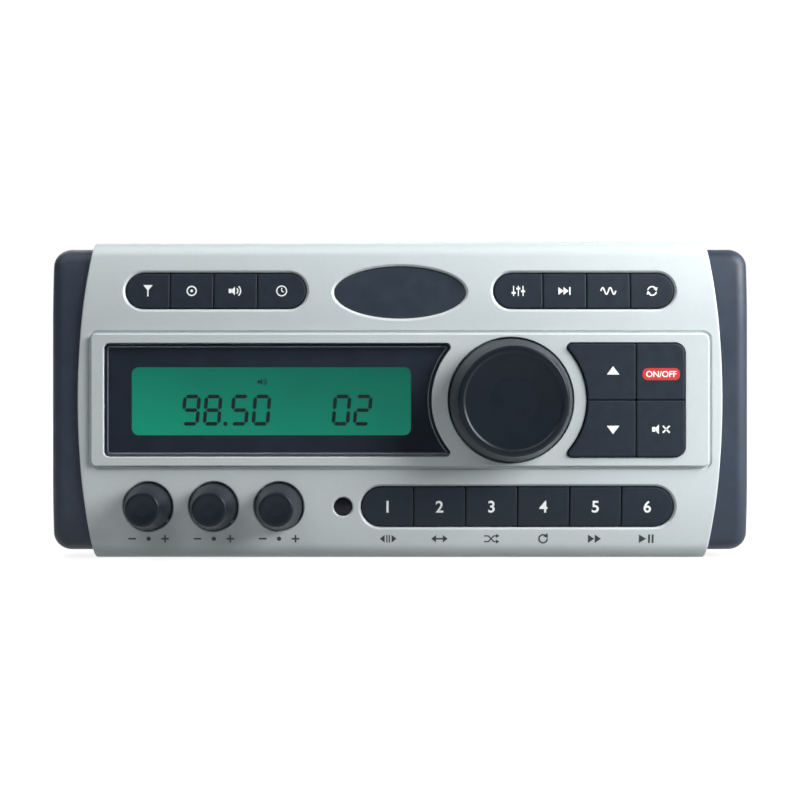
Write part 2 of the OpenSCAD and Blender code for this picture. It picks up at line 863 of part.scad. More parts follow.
module remote_receiver() {
    w = eye_d;
    y = flange_y + fit + receiver_dome;
    color("Black") {
        span([-eye_left - w / 2, y, -eye_z - w / 2], [-eye_left + w / 2, board_y, -eye_z + w / 2]);
        facing_front(-eye_left, y, -eye_z) cylinder(r = w / 2 - receiver_dome, h = receiver_dome);
    }
}

// Keys

// A key with its visible front outline as first child and its flange outline as second child
module key(x, z, front, skin) {
    intersection() {
        along_y(front, seat_y + eps) children(0);
        under_skin(skin);
    }
    along_y(seat_y, flange_y) children(1);
    facing_back(x, flange_y - eps, z) cylinder(d = plunger_d, h = key_travel + eps + plunger_reach);
}

// Key i of a row cut from a slot, between x0 and x1
module row_key(x0, x1, z, first, last) {
    a = x0 + (first ? -key_lip - 1 : key_gap / 2);
    b = x1 + (last ? key_lip + 1 : -key_gap / 2);
    color("DarkSlateGray") key((x0 + x1) / 2, z, panel_y, key_sink) {
        intersection() {
            children(0);
            translate([a, z - head_h / 2]) square([b - a, head_h]);
        }
        intersection() {
            children(1);
            translate([a, z - head_h / 2]) square([b - a, head_h]);
        }
    }
}

// Function key i, from 0 at the left end of the left row to 7 at the right end of the right row
module function_key(i) {
    left = i < 4;
    j = left ? 3 - i : i - 4;
    x0 = left ? -row_edge(j + 1) : row_edge(j);
    x1 = left ? -row_edge(j) : row_edge(j + 1);
    row_key(x0, x1, row_z, i % 4 == 0, i % 4 == 3) {
        row_slots(0);
        row_slots(key_clear + key_lip);
    }
}

// Preset key i, from 0 at the left end of the row
module preset_key(i) {
    row_key(preset_edge(i), preset_edge(i + 1), -preset_z, i == 0, i == 5) {
        preset_slot(0);
        preset_slot(key_clear + key_lip);
    }
}

pad_xs = [(volume_x + pad_arc_r + pad_split) / 2 + 1, (pad_split + pad_right) / 2];

// Key of the pad: column 0 or 1 from the left, row 1 above or -1 below
module pad_key(column, row) {
    x0 = column ? pad_split + key_gap / 2 : volume_x;
    x1 = column ? head_w / 2 : pad_split - key_gap / 2;
    z0 = row > 0 ? key_gap / 2 : -head_h / 2;
    color("DarkSlateGray") {
        key(pad_xs[column], row * pad_h / 4, panel_y, 0) {
            intersection() {
                pad_outline(0);
                translate([x0, z0]) square([x1 - x0, head_h / 2 - key_gap / 2]);
            }
            intersection() {
                pad_outline(key_clear + key_lip);
                translate([x0, z0]) square([x1 - x0, head_h / 2 - key_gap / 2]);
            }
        }
        along_y(panel_y - pad_proud, inner_y) intersection() {
            pad_outline(0);
            translate([x0, z0]) square([x1 - x0, head_h / 2 - key_gap / 2]);
        }
    }
}

module function_key_1() { function_key(0); }
module function_key_2() { function_key(1); }
module function_key_3() { function_key(2); }
module function_key_4() { function_key(3); }
module function_key_5() { function_key(4); }
module function_key_6() { function_key(5); }
module function_key_7() { function_key(6); }
module function_key_8() { function_key(7); }
module preset_key_1() { preset_key(0); }
module preset_key_2() { preset_key(1); }
module preset_key_3() { preset_key(2); }
module preset_key_4() { preset_key(3); }
module preset_key_5() { preset_key(4); }
module preset_key_6() { preset_key(5); }
module up_key() { pad_key(0, 1); }
module down_key() { pad_key(0, -1); }
module power_key() { pad_key(1, 1); }
module mute_key() { pad_key(1, -1); }

// Places of the switches, one behind each key
switch_places = concat(
    [for (s = [-1, 1], i = [0 : 3]) [s * (row_edge(i) + row_edge(i + 1)) / 2, row_z]],
    [for (i = [0 : 5]) [(preset_edge(i) + preset_edge(i + 1)) / 2, -preset_z]],
    [for (x = pad_xs, s = [-1, 1]) [x, s * pad_h / 4]]);

module key_switches() {
    color("DimGray") for (p = switch_places)
        difference() {
            span([p.x - switch_w / 2, switch_y, p.y - switch_w / 2],
                [p.x + switch_w / 2, board_y, p.y + switch_w / 2]);
            facing_front(p.x, switch_y + switch_bore, p.y)
                cylinder(r = plunger_d / 2 + plunger_clear, h = switch_h);
        }
}

// Knobs

// A D-shaped bar of radius r, with its flat at half the radius
module d_bar(r, flat, h) {
    difference() {
        cylinder(r = r, h = h);
        translate([flat, -r - eps, -eps]) cube([r, 2 * (r + eps), h + 2 * eps]);
    }
}

// A hollow knob of base radius r, front radius rf and height h, with a hub for a D shaft
module knob(r, rf, h, skirt, edge, shaft_r, hub_lift) {
    t = knob_wall;
    dish_r = dish_curve * rf;
    difference() {
        rotate_extrude() difference() {
            rounded([[0, 0], [r, 0], [r, skirt], [rf, h], [0, h]], [0, 0, skirt / 4, edge, 0]);
            polygon([[-1, -1], [r - t, -1], [r - t, skirt], [rf - t, h - 2 * t], [-1, h - 2 * t]]);
        }
        // Shallow dish in the front
        translate([0, 0, h + dish_r - knob_dish * rf]) sphere(dish_r, $fn = 96);
    }
    difference() {
        translate([0, 0, hub_lift]) cylinder(r = shaft_r + t, h = h - 1.5 * t - hub_lift);
        translate([0, 0, hub_lift - 1])
            d_bar(shaft_r + running, shaft_r / 2 + running, h - hub_lift - 2 * t);
    }
}

module volume_knob() {
    rear = well_floor_y - skirt_lift;
    h = rear - (panel_y - volume_h);
    color("DarkSlateGray") facing_front(volume_x, rear, 0)
        knob(volume_r, volume_front_d / 2, h, rear - panel_y + 1, volume_edge_r, volume_shaft_d / 2, seal_t);
}

module tone_knob(i) {
    rear = tone_floor_y - skirt_lift;
    h = rear - (-head_d - tone_h);
    color("DarkSlateGray") facing_front(tone_xs[i], rear, -tone_z)
        knob(tone_r, tone_front_d / 2, h, rear + head_d, tone_edge_r, tone_shaft_d / 2, seal_t);
}

// A shaft of radius r from inside its bush to inside the knob, round below and flatted in the knob
module shaft(r, y0, y1, flat_y) {
    color("LightSteelBlue") {
        translate([0, flat_y, 0]) rotate([-90, 0, 0]) cylinder(r = r, h = y1 - flat_y);
        translate([0, flat_y, 0]) rotate([90, 0, 0]) d_bar(r, r / 2, flat_y - y0);
    }
}

module volume_shaft() {
    rear = well_floor_y - skirt_lift;
    front = panel_y - volume_h + knob_cover;
    translate([volume_x, 0, 0])
        shaft(volume_shaft_d / 2, front, board_y - shaft_depth, rear - seal_t + fit);
}

module tone_shaft(i) {
    rear = tone_floor_y - skirt_lift;
    front = -head_d - tone_h + knob_cover;
    translate([tone_xs[i], 0, -tone_z])
        shaft(tone_shaft_d / 2, front, board_y - shaft_depth, rear - seal_t + fit);
}

module fader_knob() { tone_knob(0); }
module treble_knob() { tone_knob(1); }
module bass_knob() { tone_knob(2); }
module fader_shaft() { tone_shaft(0); }
module treble_shaft() { tone_shaft(1); }
module bass_shaft() { tone_shaft(2); }

// A rotary control on the board: square body, bush through the fascia and a blind bore for the shaft
module rotary(x, z, w, floor_y, shaft_r) {
    body_y = floor_y + floor_t + rotary_gap;
    difference() {
        union() {
            span([x - w / 2, body_y, z - w / 2], [x + w / 2, board_y, z + w / 2]);
            facing_front(x, board_y - 1, z) cylinder(r = shaft_r + bush_w, h = board_y - 1 - floor_y);
        }
        facing_front(x, board_y - shaft_depth + fit, z) cylinder(r = shaft_r + running, h = head_d);
    }
}

module volume_encoder() {
    color("Silver") rotary(volume_x, 0, encoder_w, well_floor_y, volume_shaft_d / 2);
}

module tone_pots() {
    color("Silver") for (x = tone_xs)
        rotary(x, -tone_z, pot_w, tone_floor_y, tone_shaft_d / 2);
}

module seal(x, z, floor_y, shaft_r) {
    facing_front(x, floor_y, z) difference() {
        cylinder(r = shaft_r + bush_w + seal_w, h = seal_t);
        translate([0, 0, -1]) cylinder(r = shaft_r + running, h = seal_t + 2);
    }
}

module shaft_seals() {
    color("Black") {
        seal(volume_x, 0, well_floor_y, volume_shaft_d / 2);
        for (x = tone_xs)
            seal(x, -tone_z, tone_floor_y, tone_shaft_d / 2);
    }
}

// Board, screws and back plate of the head

module control_board() {
    color("DarkGreen") difference() {
        along_y(board_y, board_back_y)
            round_rect([-board_w / 2, -board_h / 2], [board_w / 2, board_h / 2], board_r);
        for (p = board_boss_places)
            facing_front(p.x, board_back_y + 1, p.y) cylinder(r = screw_r + fit, h = board_t + 2);
    }
}

// A pan-head screw with its head bearing at y
module front_screw(x, y, z, r, len, head_r, head_h) {
    facing_front(x, y, z) cylinder(r = r, h = len);
    facing_back(x, y, z) cylinder(r = head_r, h = head_h);
}

module head_screws() {
    color("Silver") {
        for (p = head_boss_places)
            front_screw(p.x, rear_y - screw_head_h, p.y, screw_r, screw_len, screw_head_r, screw_head_h);
        for (p = board_boss_places)
            front_screw(p.x, board_back_y, p.y, screw_r, screw_len, screw_head_r, screw_head_h);
    }
}

// Lips of the chassis are screwed to the back plate at these places
lip_places = [for (s = [-1, 1], t = [-1, 1])
    [s * (tray_half_w - sheet_t - lip_w / 2), t * (tray_half_h - lip_drop)]];
link_z = main_top_z + link_h / 2;

module head_back() {
    color("DimGray") difference() {
        along_y(plate_y, rear_y) difference() {
            union() {
                round_rect([-plate_half_x, -ear_half_z], [plate_half_x, ear_half_z], cap_corner_r - cap_wall);
                round_rect([-board_w / 2, -plate_half_z], [board_w / 2, plate_half_z], least_r);
            }
            for (s = [-1, 1], t = [-1, 1]) {
                translate([s * screw_pitch_x / 2, t * screw_pitch_z / 2]) circle(d = screw_hole_d);
                translate([s * screw_pitch_x / 2, t * cap_peg_z]) circle(d = cap_peg_d + 2 * running);
            }
            for (p = head_boss_places)
                translate(p) circle(screw_r + fit);
            translate([0, link_z]) square([link_w + 2, link_h + 2], center = true);
        }
        for (p = head_boss_places)
            facing_back(p.x, rear_y - screw_head_h, p.y) cylinder(r = screw_head_r + fit, h = back_t);
        for (p = lip_places)
            facing_front(p.x, rear_y + 1, p.y) cylinder(r = chassis_screw_r + running, h = back_t + 2);
    }
}

module dash_gasket() {
    x = plate_half_x - gasket_edge;
    z = ear_half_z - gasket_edge;
    x_in = tray_half_w + gasket_room;
    z_in = tray_half_h + gasket_room;
    color("Black") along_y(rear_y, 0) difference() {
        round_rect([-x, -z], [x, z], cap_corner_r - cap_wall);
        round_rect([-x_in, -z_in], [x_in, z_in], gasket_room / 2);
        for (s = [-1, 1], t = [-1, 1])
            translate([s * screw_pitch_x / 2, t * screw_pitch_z / 2]) circle(d = screw_hole_d);
    }
}

module board_link() {
    color("Ivory") span([-link_w / 2, board_back_y, main_top_z], [link_w / 2, link_y1, main_top_z + link_h]);
}

// Chassis

standoff_places = [for (s = [-1, 1], y = [main_y0 + standoff_front, main_y1 - standoff_rear])
    [s * (tray_half_w - standoff_in), y]];
cover_screw_ys = [skirt_in + cover_screw_in, chassis_d / 2, chassis_d - skirt_in - cover_screw_in];
cover_screw_z = tray_half_h - sheet_t - skirt_h / 2;

module chassis_tray() {
    w = tray_half_w;
    h = tray_half_h;
    t = sheet_t;
    top = h - t;
    color("Silver") difference() {
        union() {
            span([-w, rear_y, -h], [w, chassis_d, -h + t]);
            for (s = [0, 1])
                mirror([s, 0, 0]) {
                    span([w - t, rear_y, -h], [w, chassis_d, top]);
                    span([w - t - lip_w, rear_y, -h], [w, rear_y + t, top]);
                }
            span([-w, wall_y, -h], [w, chassis_d, top]);
            for (p = standoff_places)
                translate([p.x, p.y, -h]) cylinder(r = standoff_r, h = t + main_lift);
        }
        for (p = lip_places)
            facing_back(p.x, rear_y - 1, p.y) cylinder(r = chassis_screw_r + fit, h = t + 2);
        for (p = standoff_places)
            translate([p.x, p.y, -h - 1]) cylinder(r = chassis_screw_r + running, h = main_lift + t + 2);
        for (y = cover_screw_ys)
            translate([-w - 1, y, cover_screw_z]) rotate([0, 90, 0])
                cylinder(r = chassis_screw_r + fit, h = 2 * w + 2);
        rear_openings();
    }
}

// Holes in the rear wall of the tray
module rear_openings() {
    y0 = wall_y - 1;
    y1 = chassis_d + 1;
    g = fit;
    span([sink_x - pad_sink_w / 2 - g, y0, chip_z0 - g],
        [sink_x + pad_sink_w / 2 + g, y1, chip_z0 + pad_sink_h + g]);
    span([harness_x - harness_w / 2 - g, y0, main_top_z - g],
        [harness_x + harness_w / 2 + g, y1, main_top_z + harness_h + g]);
    facing_back(antenna_x, y0, antenna_z) cylinder(r = antenna_r + g, h = sheet_t + 2);
    for (i = [0, 1])
        facing_back(rca_x, y0, rca_z0 + i * rca_pitch)
            cylinder(r = rca_r + rca_shoulder + g, h = sheet_t + 2);
    span([harness_x - fuse_w / 2 - holder_wall - 2 * g, y0, fuse_z - fuse_t / 2 - holder_wall - 2 * g],
        [harness_x + fuse_w / 2 + holder_wall + 2 * g, y1, fuse_z + fuse_t / 2 + holder_wall + 2 * g]);
    facing_back(stud_x, y0, stud_z) cylinder(r = stud_d / 2 + g, h = sheet_t + 2);
    for (s = [-1, 1])
        facing_back(sink_x + s * sink_hole_x, y0, sink_hole_z)
            cylinder(r = chassis_screw_r + fit, h = sheet_t + 2);
}

module chassis_cover() {
    w = tray_half_w;
    t = sheet_t;
    top = tray_half_h;
    color("Silver") difference() {
        union() {
            span([-w, rear_y, top - t], [w, chassis_d, top]);
            for (s = [0, 1])
                mirror([s, 0, 0])
                    span([w - 2 * t - fit, skirt_in, top - t - skirt_h],
                        [w - t - fit, chassis_d - skirt_in, top]);
        }
        for (y = cover_screw_ys)
            translate([-w - 1, y, cover_screw_z]) rotate([0, 90, 0])
                cylinder(r = chassis_screw_r + running, h = 2 * w + 2);
        for (s = [-1, 1], i = [-4 : 4])
            translate([s * w / 2 + i * vent_pitch, chassis_d * 0.6, top - t - 1]) linear_extrude(t + 2)
                rotate(90) pill(-vent_len / 2, vent_len / 2, vent_w);
    }
}

module chassis_screws() {
    color("Silver") {
        for (p = lip_places)
            front_screw(p.x, rear_y + sheet_t, p.y, chassis_screw_r, sheet_t + back_t - lip_screw_short,
                chassis_screw_head_r, chassis_screw_head_h);
        for (p = standoff_places)
            translate([p.x, p.y, main_top_z]) {
                cylinder(r = chassis_screw_head_r, h = chassis_screw_head_h);
                translate([0, 0, -board_screw_len]) cylinder(r = chassis_screw_r, h = board_screw_len + eps);
            }
        for (s = [0, 1], y = cover_screw_ys)
            mirror([s, 0, 0]) translate([tray_half_w, y, cover_screw_z]) rotate([0, 90, 0]) {
                cylinder(r = chassis_screw_head_r, h = chassis_screw_head_h);
                translate([0, 0, -cover_screw_len]) cylinder(r = chassis_screw_r, h = cover_screw_len + eps);
            }
        for (s = [-1, 1]) {
            facing_back(sink_x + s * sink_hole_x, wall_y - eps, sink_hole_z)
                cylinder(r = chassis_screw_r, h = sink_screw_len + eps);
            facing_front(sink_x + s * sink_hole_x, wall_y, sink_hole_z)
                cylinder(r = chassis_screw_head_r, h = chassis_screw_head_h);
        }
    }
}

module main_board() {
    half = tray_half_w - sheet_t - main_gap;
    color("DarkGreen") difference() {
        span([-half, main_y0, main_z], [half, main_y1, main_top_z]);
        for (p = standoff_places)
            translate([p.x, p.y, main_z - 1]) cylinder(r = chassis_screw_r + fit, h = board_t + 2);
    }
}

module tuner_module() {
    color("LightSteelBlue") translate([tuner_x - tuner_w / 2, main_y0 + tuner_y - tuner_l / 2, main_top_z])
        cube([tuner_w, tuner_l, tuner_h]);
}

module capacitors() {
    color("MidnightBlue") for (i = [0 : 2])
        translate([can_x + i * can_pitch, main_y0 + can_y, main_top_z]) cylinder(r = can_r, h = can_h);
}

module amplifier_chip() {
    w = pad_sink_w - 2 * chip_margin;
    leg_y = wall_y - chip_t + leg_t;
    color("Black") {
        span([sink_x - w / 2, wall_y - chip_t, chip_z0], [sink_x + w / 2, wall_y, chip_z0 + pad_sink_h]);
        for (i = [-4 : 4])
            span([sink_x + i * leg_pitch - leg_w / 2, leg_y, main_top_z],
                [sink_x + i * leg_pitch + leg_w / 2, leg_y + leg_t, chip_z0 + eps]);
    }
}

module heat_sink() {
    pitch = (sink_w - fin_t) / (fin_count - 1);
    z1 = sink_z0 + sink_h;
    color("DimGray") difference() {
        union() {
            span([sink_x - sink_w / 2, chassis_d, sink_z0],
                [sink_x + sink_w / 2, chassis_d + sink_base_t, z1]);
            span([sink_x - pad_sink_w / 2, wall_y, chip_z0],
                [sink_x + pad_sink_w / 2, chassis_d + eps, chip_z0 + pad_sink_h]);
            for (i = [0 : fin_count - 1])
                translate([sink_x - sink_w / 2 + i * pitch, chassis_d + sink_base_t - eps, sink_z0])
                    cube([fin_t, fin_d + eps, sink_h]);
        }
        for (s = [-1, 1])
            facing_back(sink_x + s * sink_hole_x, wall_y, sink_hole_z)
                cylinder(r = chassis_screw_r + running, h = sink_screw_len + fit);
    }
}

module harness_socket() {
    x0 = harness_x - harness_w / 2;
    y1 = chassis_d + harness_out;
    t = harness_wall;
    color("Ivory") {
        difference() {
            span([x0, y1 - harness_d, main_top_z], [x0 + harness_w, y1, main_top_z + harness_h]);
            span([x0 + t, y1 - harness_d + harness_floor, main_top_z + t],
                [x0 + harness_w - t, y1 + 1, main_top_z + harness_h - t]);
        }
        for (i = [0 : harness_pins - 1], j = [0, 1])
            translate([harness_x + (i - (harness_pins - 1) / 2) * pin_pitch - pin_w / 2,
                y1 - harness_d + harness_floor - eps, main_top_z + t + pin_lift + j * pin_rows])
                cube([pin_w, pin_len, pin_w]);
    }
}

module antenna_socket() {
    y1 = chassis_d + antenna_out;
    color("Silver") difference() {
        union() {
            facing_front(antenna_x, y1, antenna_z) cylinder(r = antenna_r, h = antenna_out + antenna_in);
            span([antenna_x - antenna_r, wall_y - antenna_foot, main_top_z],
                [antenna_x + antenna_r, wall_y - fit, antenna_z]);
        }
        facing_front(antenna_x, y1 + 1, antenna_z) cylinder(r = antenna_bore_r, h = antenna_bore_len + 1);
        facing_front(antenna_x, y1 + 1, antenna_z)
            cylinder(r = antenna_pin_r, h = antenna_bore_len + antenna_pin_len + 1);
    }
}

module line_out_sockets() {
    z1 = rca_z0 + rca_pitch + rca_margin;
    color("Black") difference() {
        union() {
            span([rca_x - rca_block_w / 2, wall_y - rca_block_d, main_top_z],
                [rca_x + rca_block_w / 2, wall_y, z1]);
            for (i = [0, 1]) {
                facing_back(rca_x, wall_y - eps, rca_z0 + i * rca_pitch)
                    cylinder(r = rca_r + rca_shoulder, h = sheet_t + eps);
                facing_back(rca_x, wall_y, rca_z0 + i * rca_pitch) cylinder(r = rca_r, h = sheet_t + rca_out);
            }
        }
        for (i = [0, 1])
            facing_front(rca_x, chassis_d + rca_out + 1, rca_z0 + i * rca_pitch)
                cylinder(r = rca_pin_r, h = rca_pin_len + 1);
    }
}

module fuse_holder() {
    x = fuse_w / 2 + fit + holder_wall;
    z = fuse_t / 2 + fit + holder_wall;
    color("Black") difference() {
        span([harness_x - x, chassis_d - fuse_d - 2, main_top_z + harness_h],
            [harness_x + x, chassis_d + 1, fuse_z + z]);
        span([harness_x - fuse_w / 2 - fit, chassis_d - fuse_d + fuse_out, fuse_z - fuse_t / 2 - fit],
            [harness_x + fuse_w / 2 + fit, chassis_d + 2, fuse_z + fuse_t / 2 + fit]);
        span([harness_x - x - 1, wall_y - fit, main_top_z], [harness_x + x + 1, chassis_d + 2, fuse_z - z]);
    }
}

module fuse() {
    color("Orange") span([harness_x - fuse_w / 2, chassis_d - fuse_d + fuse_out, fuse_z - fuse_t / 2],
        [harness_x + fuse_w / 2, chassis_d + fuse_out, fuse_z + fuse_t / 2]);
}

module rear_stud() {
    color("Silver") {
        facing_front(stud_x, wall_y, stud_z) cylinder(r = stud_d, h = stud_flange_t);
        facing_back(stud_x, wall_y - eps, stud_z) cylinder(d = stud_d, h = sheet_t + 2 * eps);
        facing_back(stud_x, chassis_d, stud_z) cylinder(d = 2 * stud_d, h = stud_collar_t, $fn = 6);
        facing_back(stud_x, chassis_d + eps, stud_z) cylinder(d = stud_d, h = stud_collar_t - eps + stud_len);
    }
}

fascia();
left_end_cap();
right_end_cap();
display_lens();
display_mask();
lcd_panel();
light_guide();
lcd_frame();
badge_plate();
remote_eye();
remote_receiver();
function_key_1();
function_key_2();
function_key_3();
function_key_4();
function_key_5();
function_key_6();
function_key_7();
function_key_8();
preset_key_1();
preset_key_2();
preset_key_3();
preset_key_4();
preset_key_5();
preset_key_6();
up_key();
down_key();
power_key();
mute_key();
volume_knob();
volume_shaft();
fader_knob();
fader_shaft();
treble_knob();
treble_shaft();
bass_knob();
bass_shaft();
volume_encoder();
tone_pots();
shaft_seals();
key_switches();
control_board();
board_link();
head_screws();
head_back();
dash_gasket();
chassis_tray();
chassis_cover();
chassis_screws();
main_board();
tuner_module();
capacitors();
amplifier_chip();
heat_sink();
harness_socket();
antenna_socket();
line_out_sockets();
fuse_holder();
fuse();
rear_stud();
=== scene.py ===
"""Softened mouldings, finishes, printed marks and a plain studio for a flush-mounting marine radio receiver.

X runs to the right, Y back into the dash and Z up. Flat shapes are drawn in X and Z, as seen from the front.
"""

import math

import bmesh
import bpy
import numpy as np
from mathutils.geometry import delaunay_2d_cdt
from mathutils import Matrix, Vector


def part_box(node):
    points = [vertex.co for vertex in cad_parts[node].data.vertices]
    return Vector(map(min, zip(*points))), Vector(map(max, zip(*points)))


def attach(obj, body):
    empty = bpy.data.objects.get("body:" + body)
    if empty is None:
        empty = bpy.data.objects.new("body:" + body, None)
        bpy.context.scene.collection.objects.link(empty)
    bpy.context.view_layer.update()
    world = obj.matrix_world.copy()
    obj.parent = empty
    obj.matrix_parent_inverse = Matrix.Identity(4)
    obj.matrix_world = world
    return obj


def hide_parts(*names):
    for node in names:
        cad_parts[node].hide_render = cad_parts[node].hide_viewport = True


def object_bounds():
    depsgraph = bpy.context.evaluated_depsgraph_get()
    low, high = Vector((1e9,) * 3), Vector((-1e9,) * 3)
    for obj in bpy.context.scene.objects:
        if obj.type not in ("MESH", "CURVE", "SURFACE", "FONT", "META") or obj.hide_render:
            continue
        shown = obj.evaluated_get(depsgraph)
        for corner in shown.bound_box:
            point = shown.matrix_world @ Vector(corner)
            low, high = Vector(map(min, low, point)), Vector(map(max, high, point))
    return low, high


bl_info = {
    "name": "Marine radio receiver",
    "version": (1, 0, 0),
    "blender": (4, 5, 0),
    "location": "View3D > Sidebar > Receiver",
    "description": "Dresses the construction of a flush-mounting marine radio receiver",
    "category": "Object",
}

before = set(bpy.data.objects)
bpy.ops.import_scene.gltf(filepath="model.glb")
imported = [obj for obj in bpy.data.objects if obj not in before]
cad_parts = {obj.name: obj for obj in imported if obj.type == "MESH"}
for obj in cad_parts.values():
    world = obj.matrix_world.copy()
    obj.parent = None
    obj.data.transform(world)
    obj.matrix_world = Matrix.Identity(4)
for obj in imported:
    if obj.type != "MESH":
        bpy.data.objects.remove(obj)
CAD_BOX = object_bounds()
MM = 0.001
BODY = "receiver"
TONE_KNOBS = ("fader", "treble", "bass")
FUNCTION_KEYS = ["function_key_%d" % i for i in range(1, 9)]
PRESET_KEYS = ["preset_key_%d" % i for i in range(1, 7)]
KEY_ROWS = (FUNCTION_KEYS[:4], FUNCTION_KEYS[4:], PRESET_KEYS)
PAD_KEYS = ("up_key", "down_key", "power_key", "mute_key")

# Spacing of points along fine outlines, slots and the larger openings, the panel, the tone wells and the eye
PATH_STEP, SLOT_STEP, PANEL_STEP, TONE_STEP, EYE_STEP = 0.3 * MM, 0.5 * MM, 0.8 * MM, 0.35 * MM, 0.2 * MM
# Spacing of points over the fronts of keys and end caps, and across the skin
FRONT_STEP, SKIN_STEP = 1.4 * MM, 3 * MM
# Points of a piece nearer than this are one, and edges sharper than this stay sharp
SAME_POINT, SHARP_EDGE = 2e-6, math.radians(40)
# Flat points nearer than this are one, and a level edge counts as rising by this
SAME_FLAT, LEVEL_RISE = 1e-9, 1e-12


# Sizes and colours that a user may change


def length(name, description, default_mm):
    """A length property, given in millimetres and kept in metres."""
    return bpy.props.FloatProperty(
        name=name, description=description, default=default_mm * MM, unit="LENGTH", precision=5)


def colour(name, description, hex_value):
    """A colour property, given as an sRGB hex value."""
    return bpy.props.FloatVectorProperty(
        name=name, description=description, default=linear(hex_value), size=4, min=0, max=1, subtype="COLOR")


def linear(hex_value):
    """Linear red, green, blue and alpha of an sRGB hex value such as d8e0e0."""
    parts = np.array([int(hex_value[i:i + 2], 16) for i in (0, 2, 4)]) / 255
    lin = np.where(parts <= 0.04045, parts / 12.92, ((parts + 0.055) / 1.055) ** 2.4)
    return (*(float(c) for c in lin), 1.0)


class ReceiverSizes(bpy.types.PropertyGroup):
    """Sizes of the mouldings that the construction's boxes don't give."""

    head_d: length("Head depth", "From the dash to the flat band of the fascia", 22)
    flat_h: length("Flat band", "Height of the flat band of the fascia", 46)
    crown_r: length("Crown radius", "Radius of the fascia above and below its flat band", 110)
    edge_r: length("Edge radius", "Radius of the top and bottom edges of the fascia", 6)
    end_bow: length("End bow", "How far each end of the fascia bows outwards", 4.8)
    panel_w: length("Panel width", "Width of the raised panel", 193.6)
    panel_h: length("Panel height", "Height of the raised panel", 43.2)
    panel_r: length("Panel corner", "Corner radius of the raised panel", 2.8)
    groove_w: length("Panel groove", "Width of the fine groove round the raised panel", 0.8)
    groove_d: length("Panel groove depth", "Depth of that groove", 0.5)
    rim: length("Rim chamfer", "Chamfer round the openings of the fascia", 0.7)
    well_rim: length("Well rim", "Chamfer round the tone knobs and the eye", 0.4)
    soft: length("Edge softness", "Radius of the moulded edges of the openings", 0.25)
    skin_t: length("Skin", "Thickness of the fascia's skin", 1.6)
    thin_land: length("Thin land", "Width round the volume knob where the skin is thin", 2.8)
    cap_corner_r: length("End cap corner", "Radius of the outer corners of the end caps", 5.5)
    cap_soft: length("End cap softness", "Radius along the outer edges of the end caps", 4)
    cap_wall: length("End cap wall", "Wall of the end caps", 1.8)
    cap_tuck: length("End cap tuck", "How far the end caps reach under the ends of the fascia", 0.8)
    lens_arc_r: length("Lens arc", "Radius of the lens about the volume knob", 24.6)
    pad_arc_r: length("Pad arc", "Radius of the key pad about the volume knob", 23.7)
    tip_r: length("Tip radius", "Radius of the pointed corners of the lens and the pad", 1.2)
    lens_corner_r: length("Lens corner", "Radius of the left corners of the lens", 1.6)
    pad_corner_r: length("Pad corner", "Radius of the right corners of the pad", 3.1)
    key_lip: length("Key lip", "Reach of the hidden flange of each key past its front", 1.2)
    key_clear: length("Key clearance", "Gap between a key and its opening", 0.3)
    key_soft: length("Key softness", "Radius of the edges of the keys", 0.45)
    key_close: length("Key spread", "How far a key's front spreads into the gap beside it", 0.12)
    key_corner: length("Key corner", "Radius of the inner corners of the keys", 0.5)
    key_sink: length("Key sink", "How far the row keys lie below the fascia", 0.3)
    key_deep: length("Key depth", "Depth of the keys behind their fronts", 3.4)
    badge_flange: length("Badge flange", "Reach of the badge's hidden flange past its opening", 1.6)
    badge_sink: length("Badge sink", "How far the badge lies below the fascia", 0.9)
    eye_flange: length("Eye flange", "Reach of the eye's hidden flange past its opening", 1.3)
    volume_front_r: length("Volume knob front", "Radius of the front edge of the volume knob", 16.7)
    tone_front_r: length("Tone knob front", "Radius of the front edge of the tone knobs", 5.2)
    digit_h: length("Preset digits", "Height of the digits on the preset keys", 3.7)
    label_z: length("Label height", "Height of the marks below the lower row", -43.2)
    label_scale: length("Label scale", "Unit of the marks on the fascia and the pad", 1.5)
    mark_scale: length("Mark scale", "Unit of the marks on the upper keys", 1.22)
    pill_w: length("Power field width", "Width of the coloured field on the power key", 11.5)
    pill_h: length("Power field height", "Height of the coloured field on the power key", 3.7)
    numeral_h: length("Display numerals", "Height of the numerals in the display", 8.5)
    # The light line inside the lens's edge is a painted highlight that stands in for the shine of the lens's
    # polished edge; these two give its place and width
    line_in: length("Lens line", "Distance of the light line inside the edge of the lens", 0.9)
    line_w: length("Lens line width", "Width of that line", 0.22)
    print_t: length("Print", "Height of the printed marks above their surface", 0.03)


class ReceiverColours(bpy.types.PropertyGroup):
    """Colours of the finishes."""

    silver: colour("Silver", "Satin silver lacquer of the fascia", "c3cbcc")
    cap: colour("End caps", "Grained plastic of the end caps", "2a3442")
    rubber: colour("Keys", "Moulded rubber of the keys", "1e2731")
    knob: colour("Knobs", "Moulded plastic of the knobs", "161d25")
    badge: colour("Badge", "Smooth plastic of the badge plate", "2b343e")
    lcd: colour("Display", "Backlit field of the display", "006e58")
    white: colour("White print", "Marks on the keys", "f2f4f4")
    black: colour("Black print", "Marks on the fascia", "2b2f33")
    red: colour("Red print", "Field behind the power mark", "c2302c")


class ReceiverStage(bpy.types.PropertyGroup):
    """Camera."""

    distance: length("Camera distance", "From the flat band to the camera", 550)
    height: length("Camera height", "Camera above the middle of the head", 12)
    view_w: length("View width", "Width of the picture at the flat band", 248)


# Lines and surfaces


def unit(v):
    """Vectors of length one in the directions of v."""
    return v / np.linalg.norm(v, axis=-1, keepdims=True)


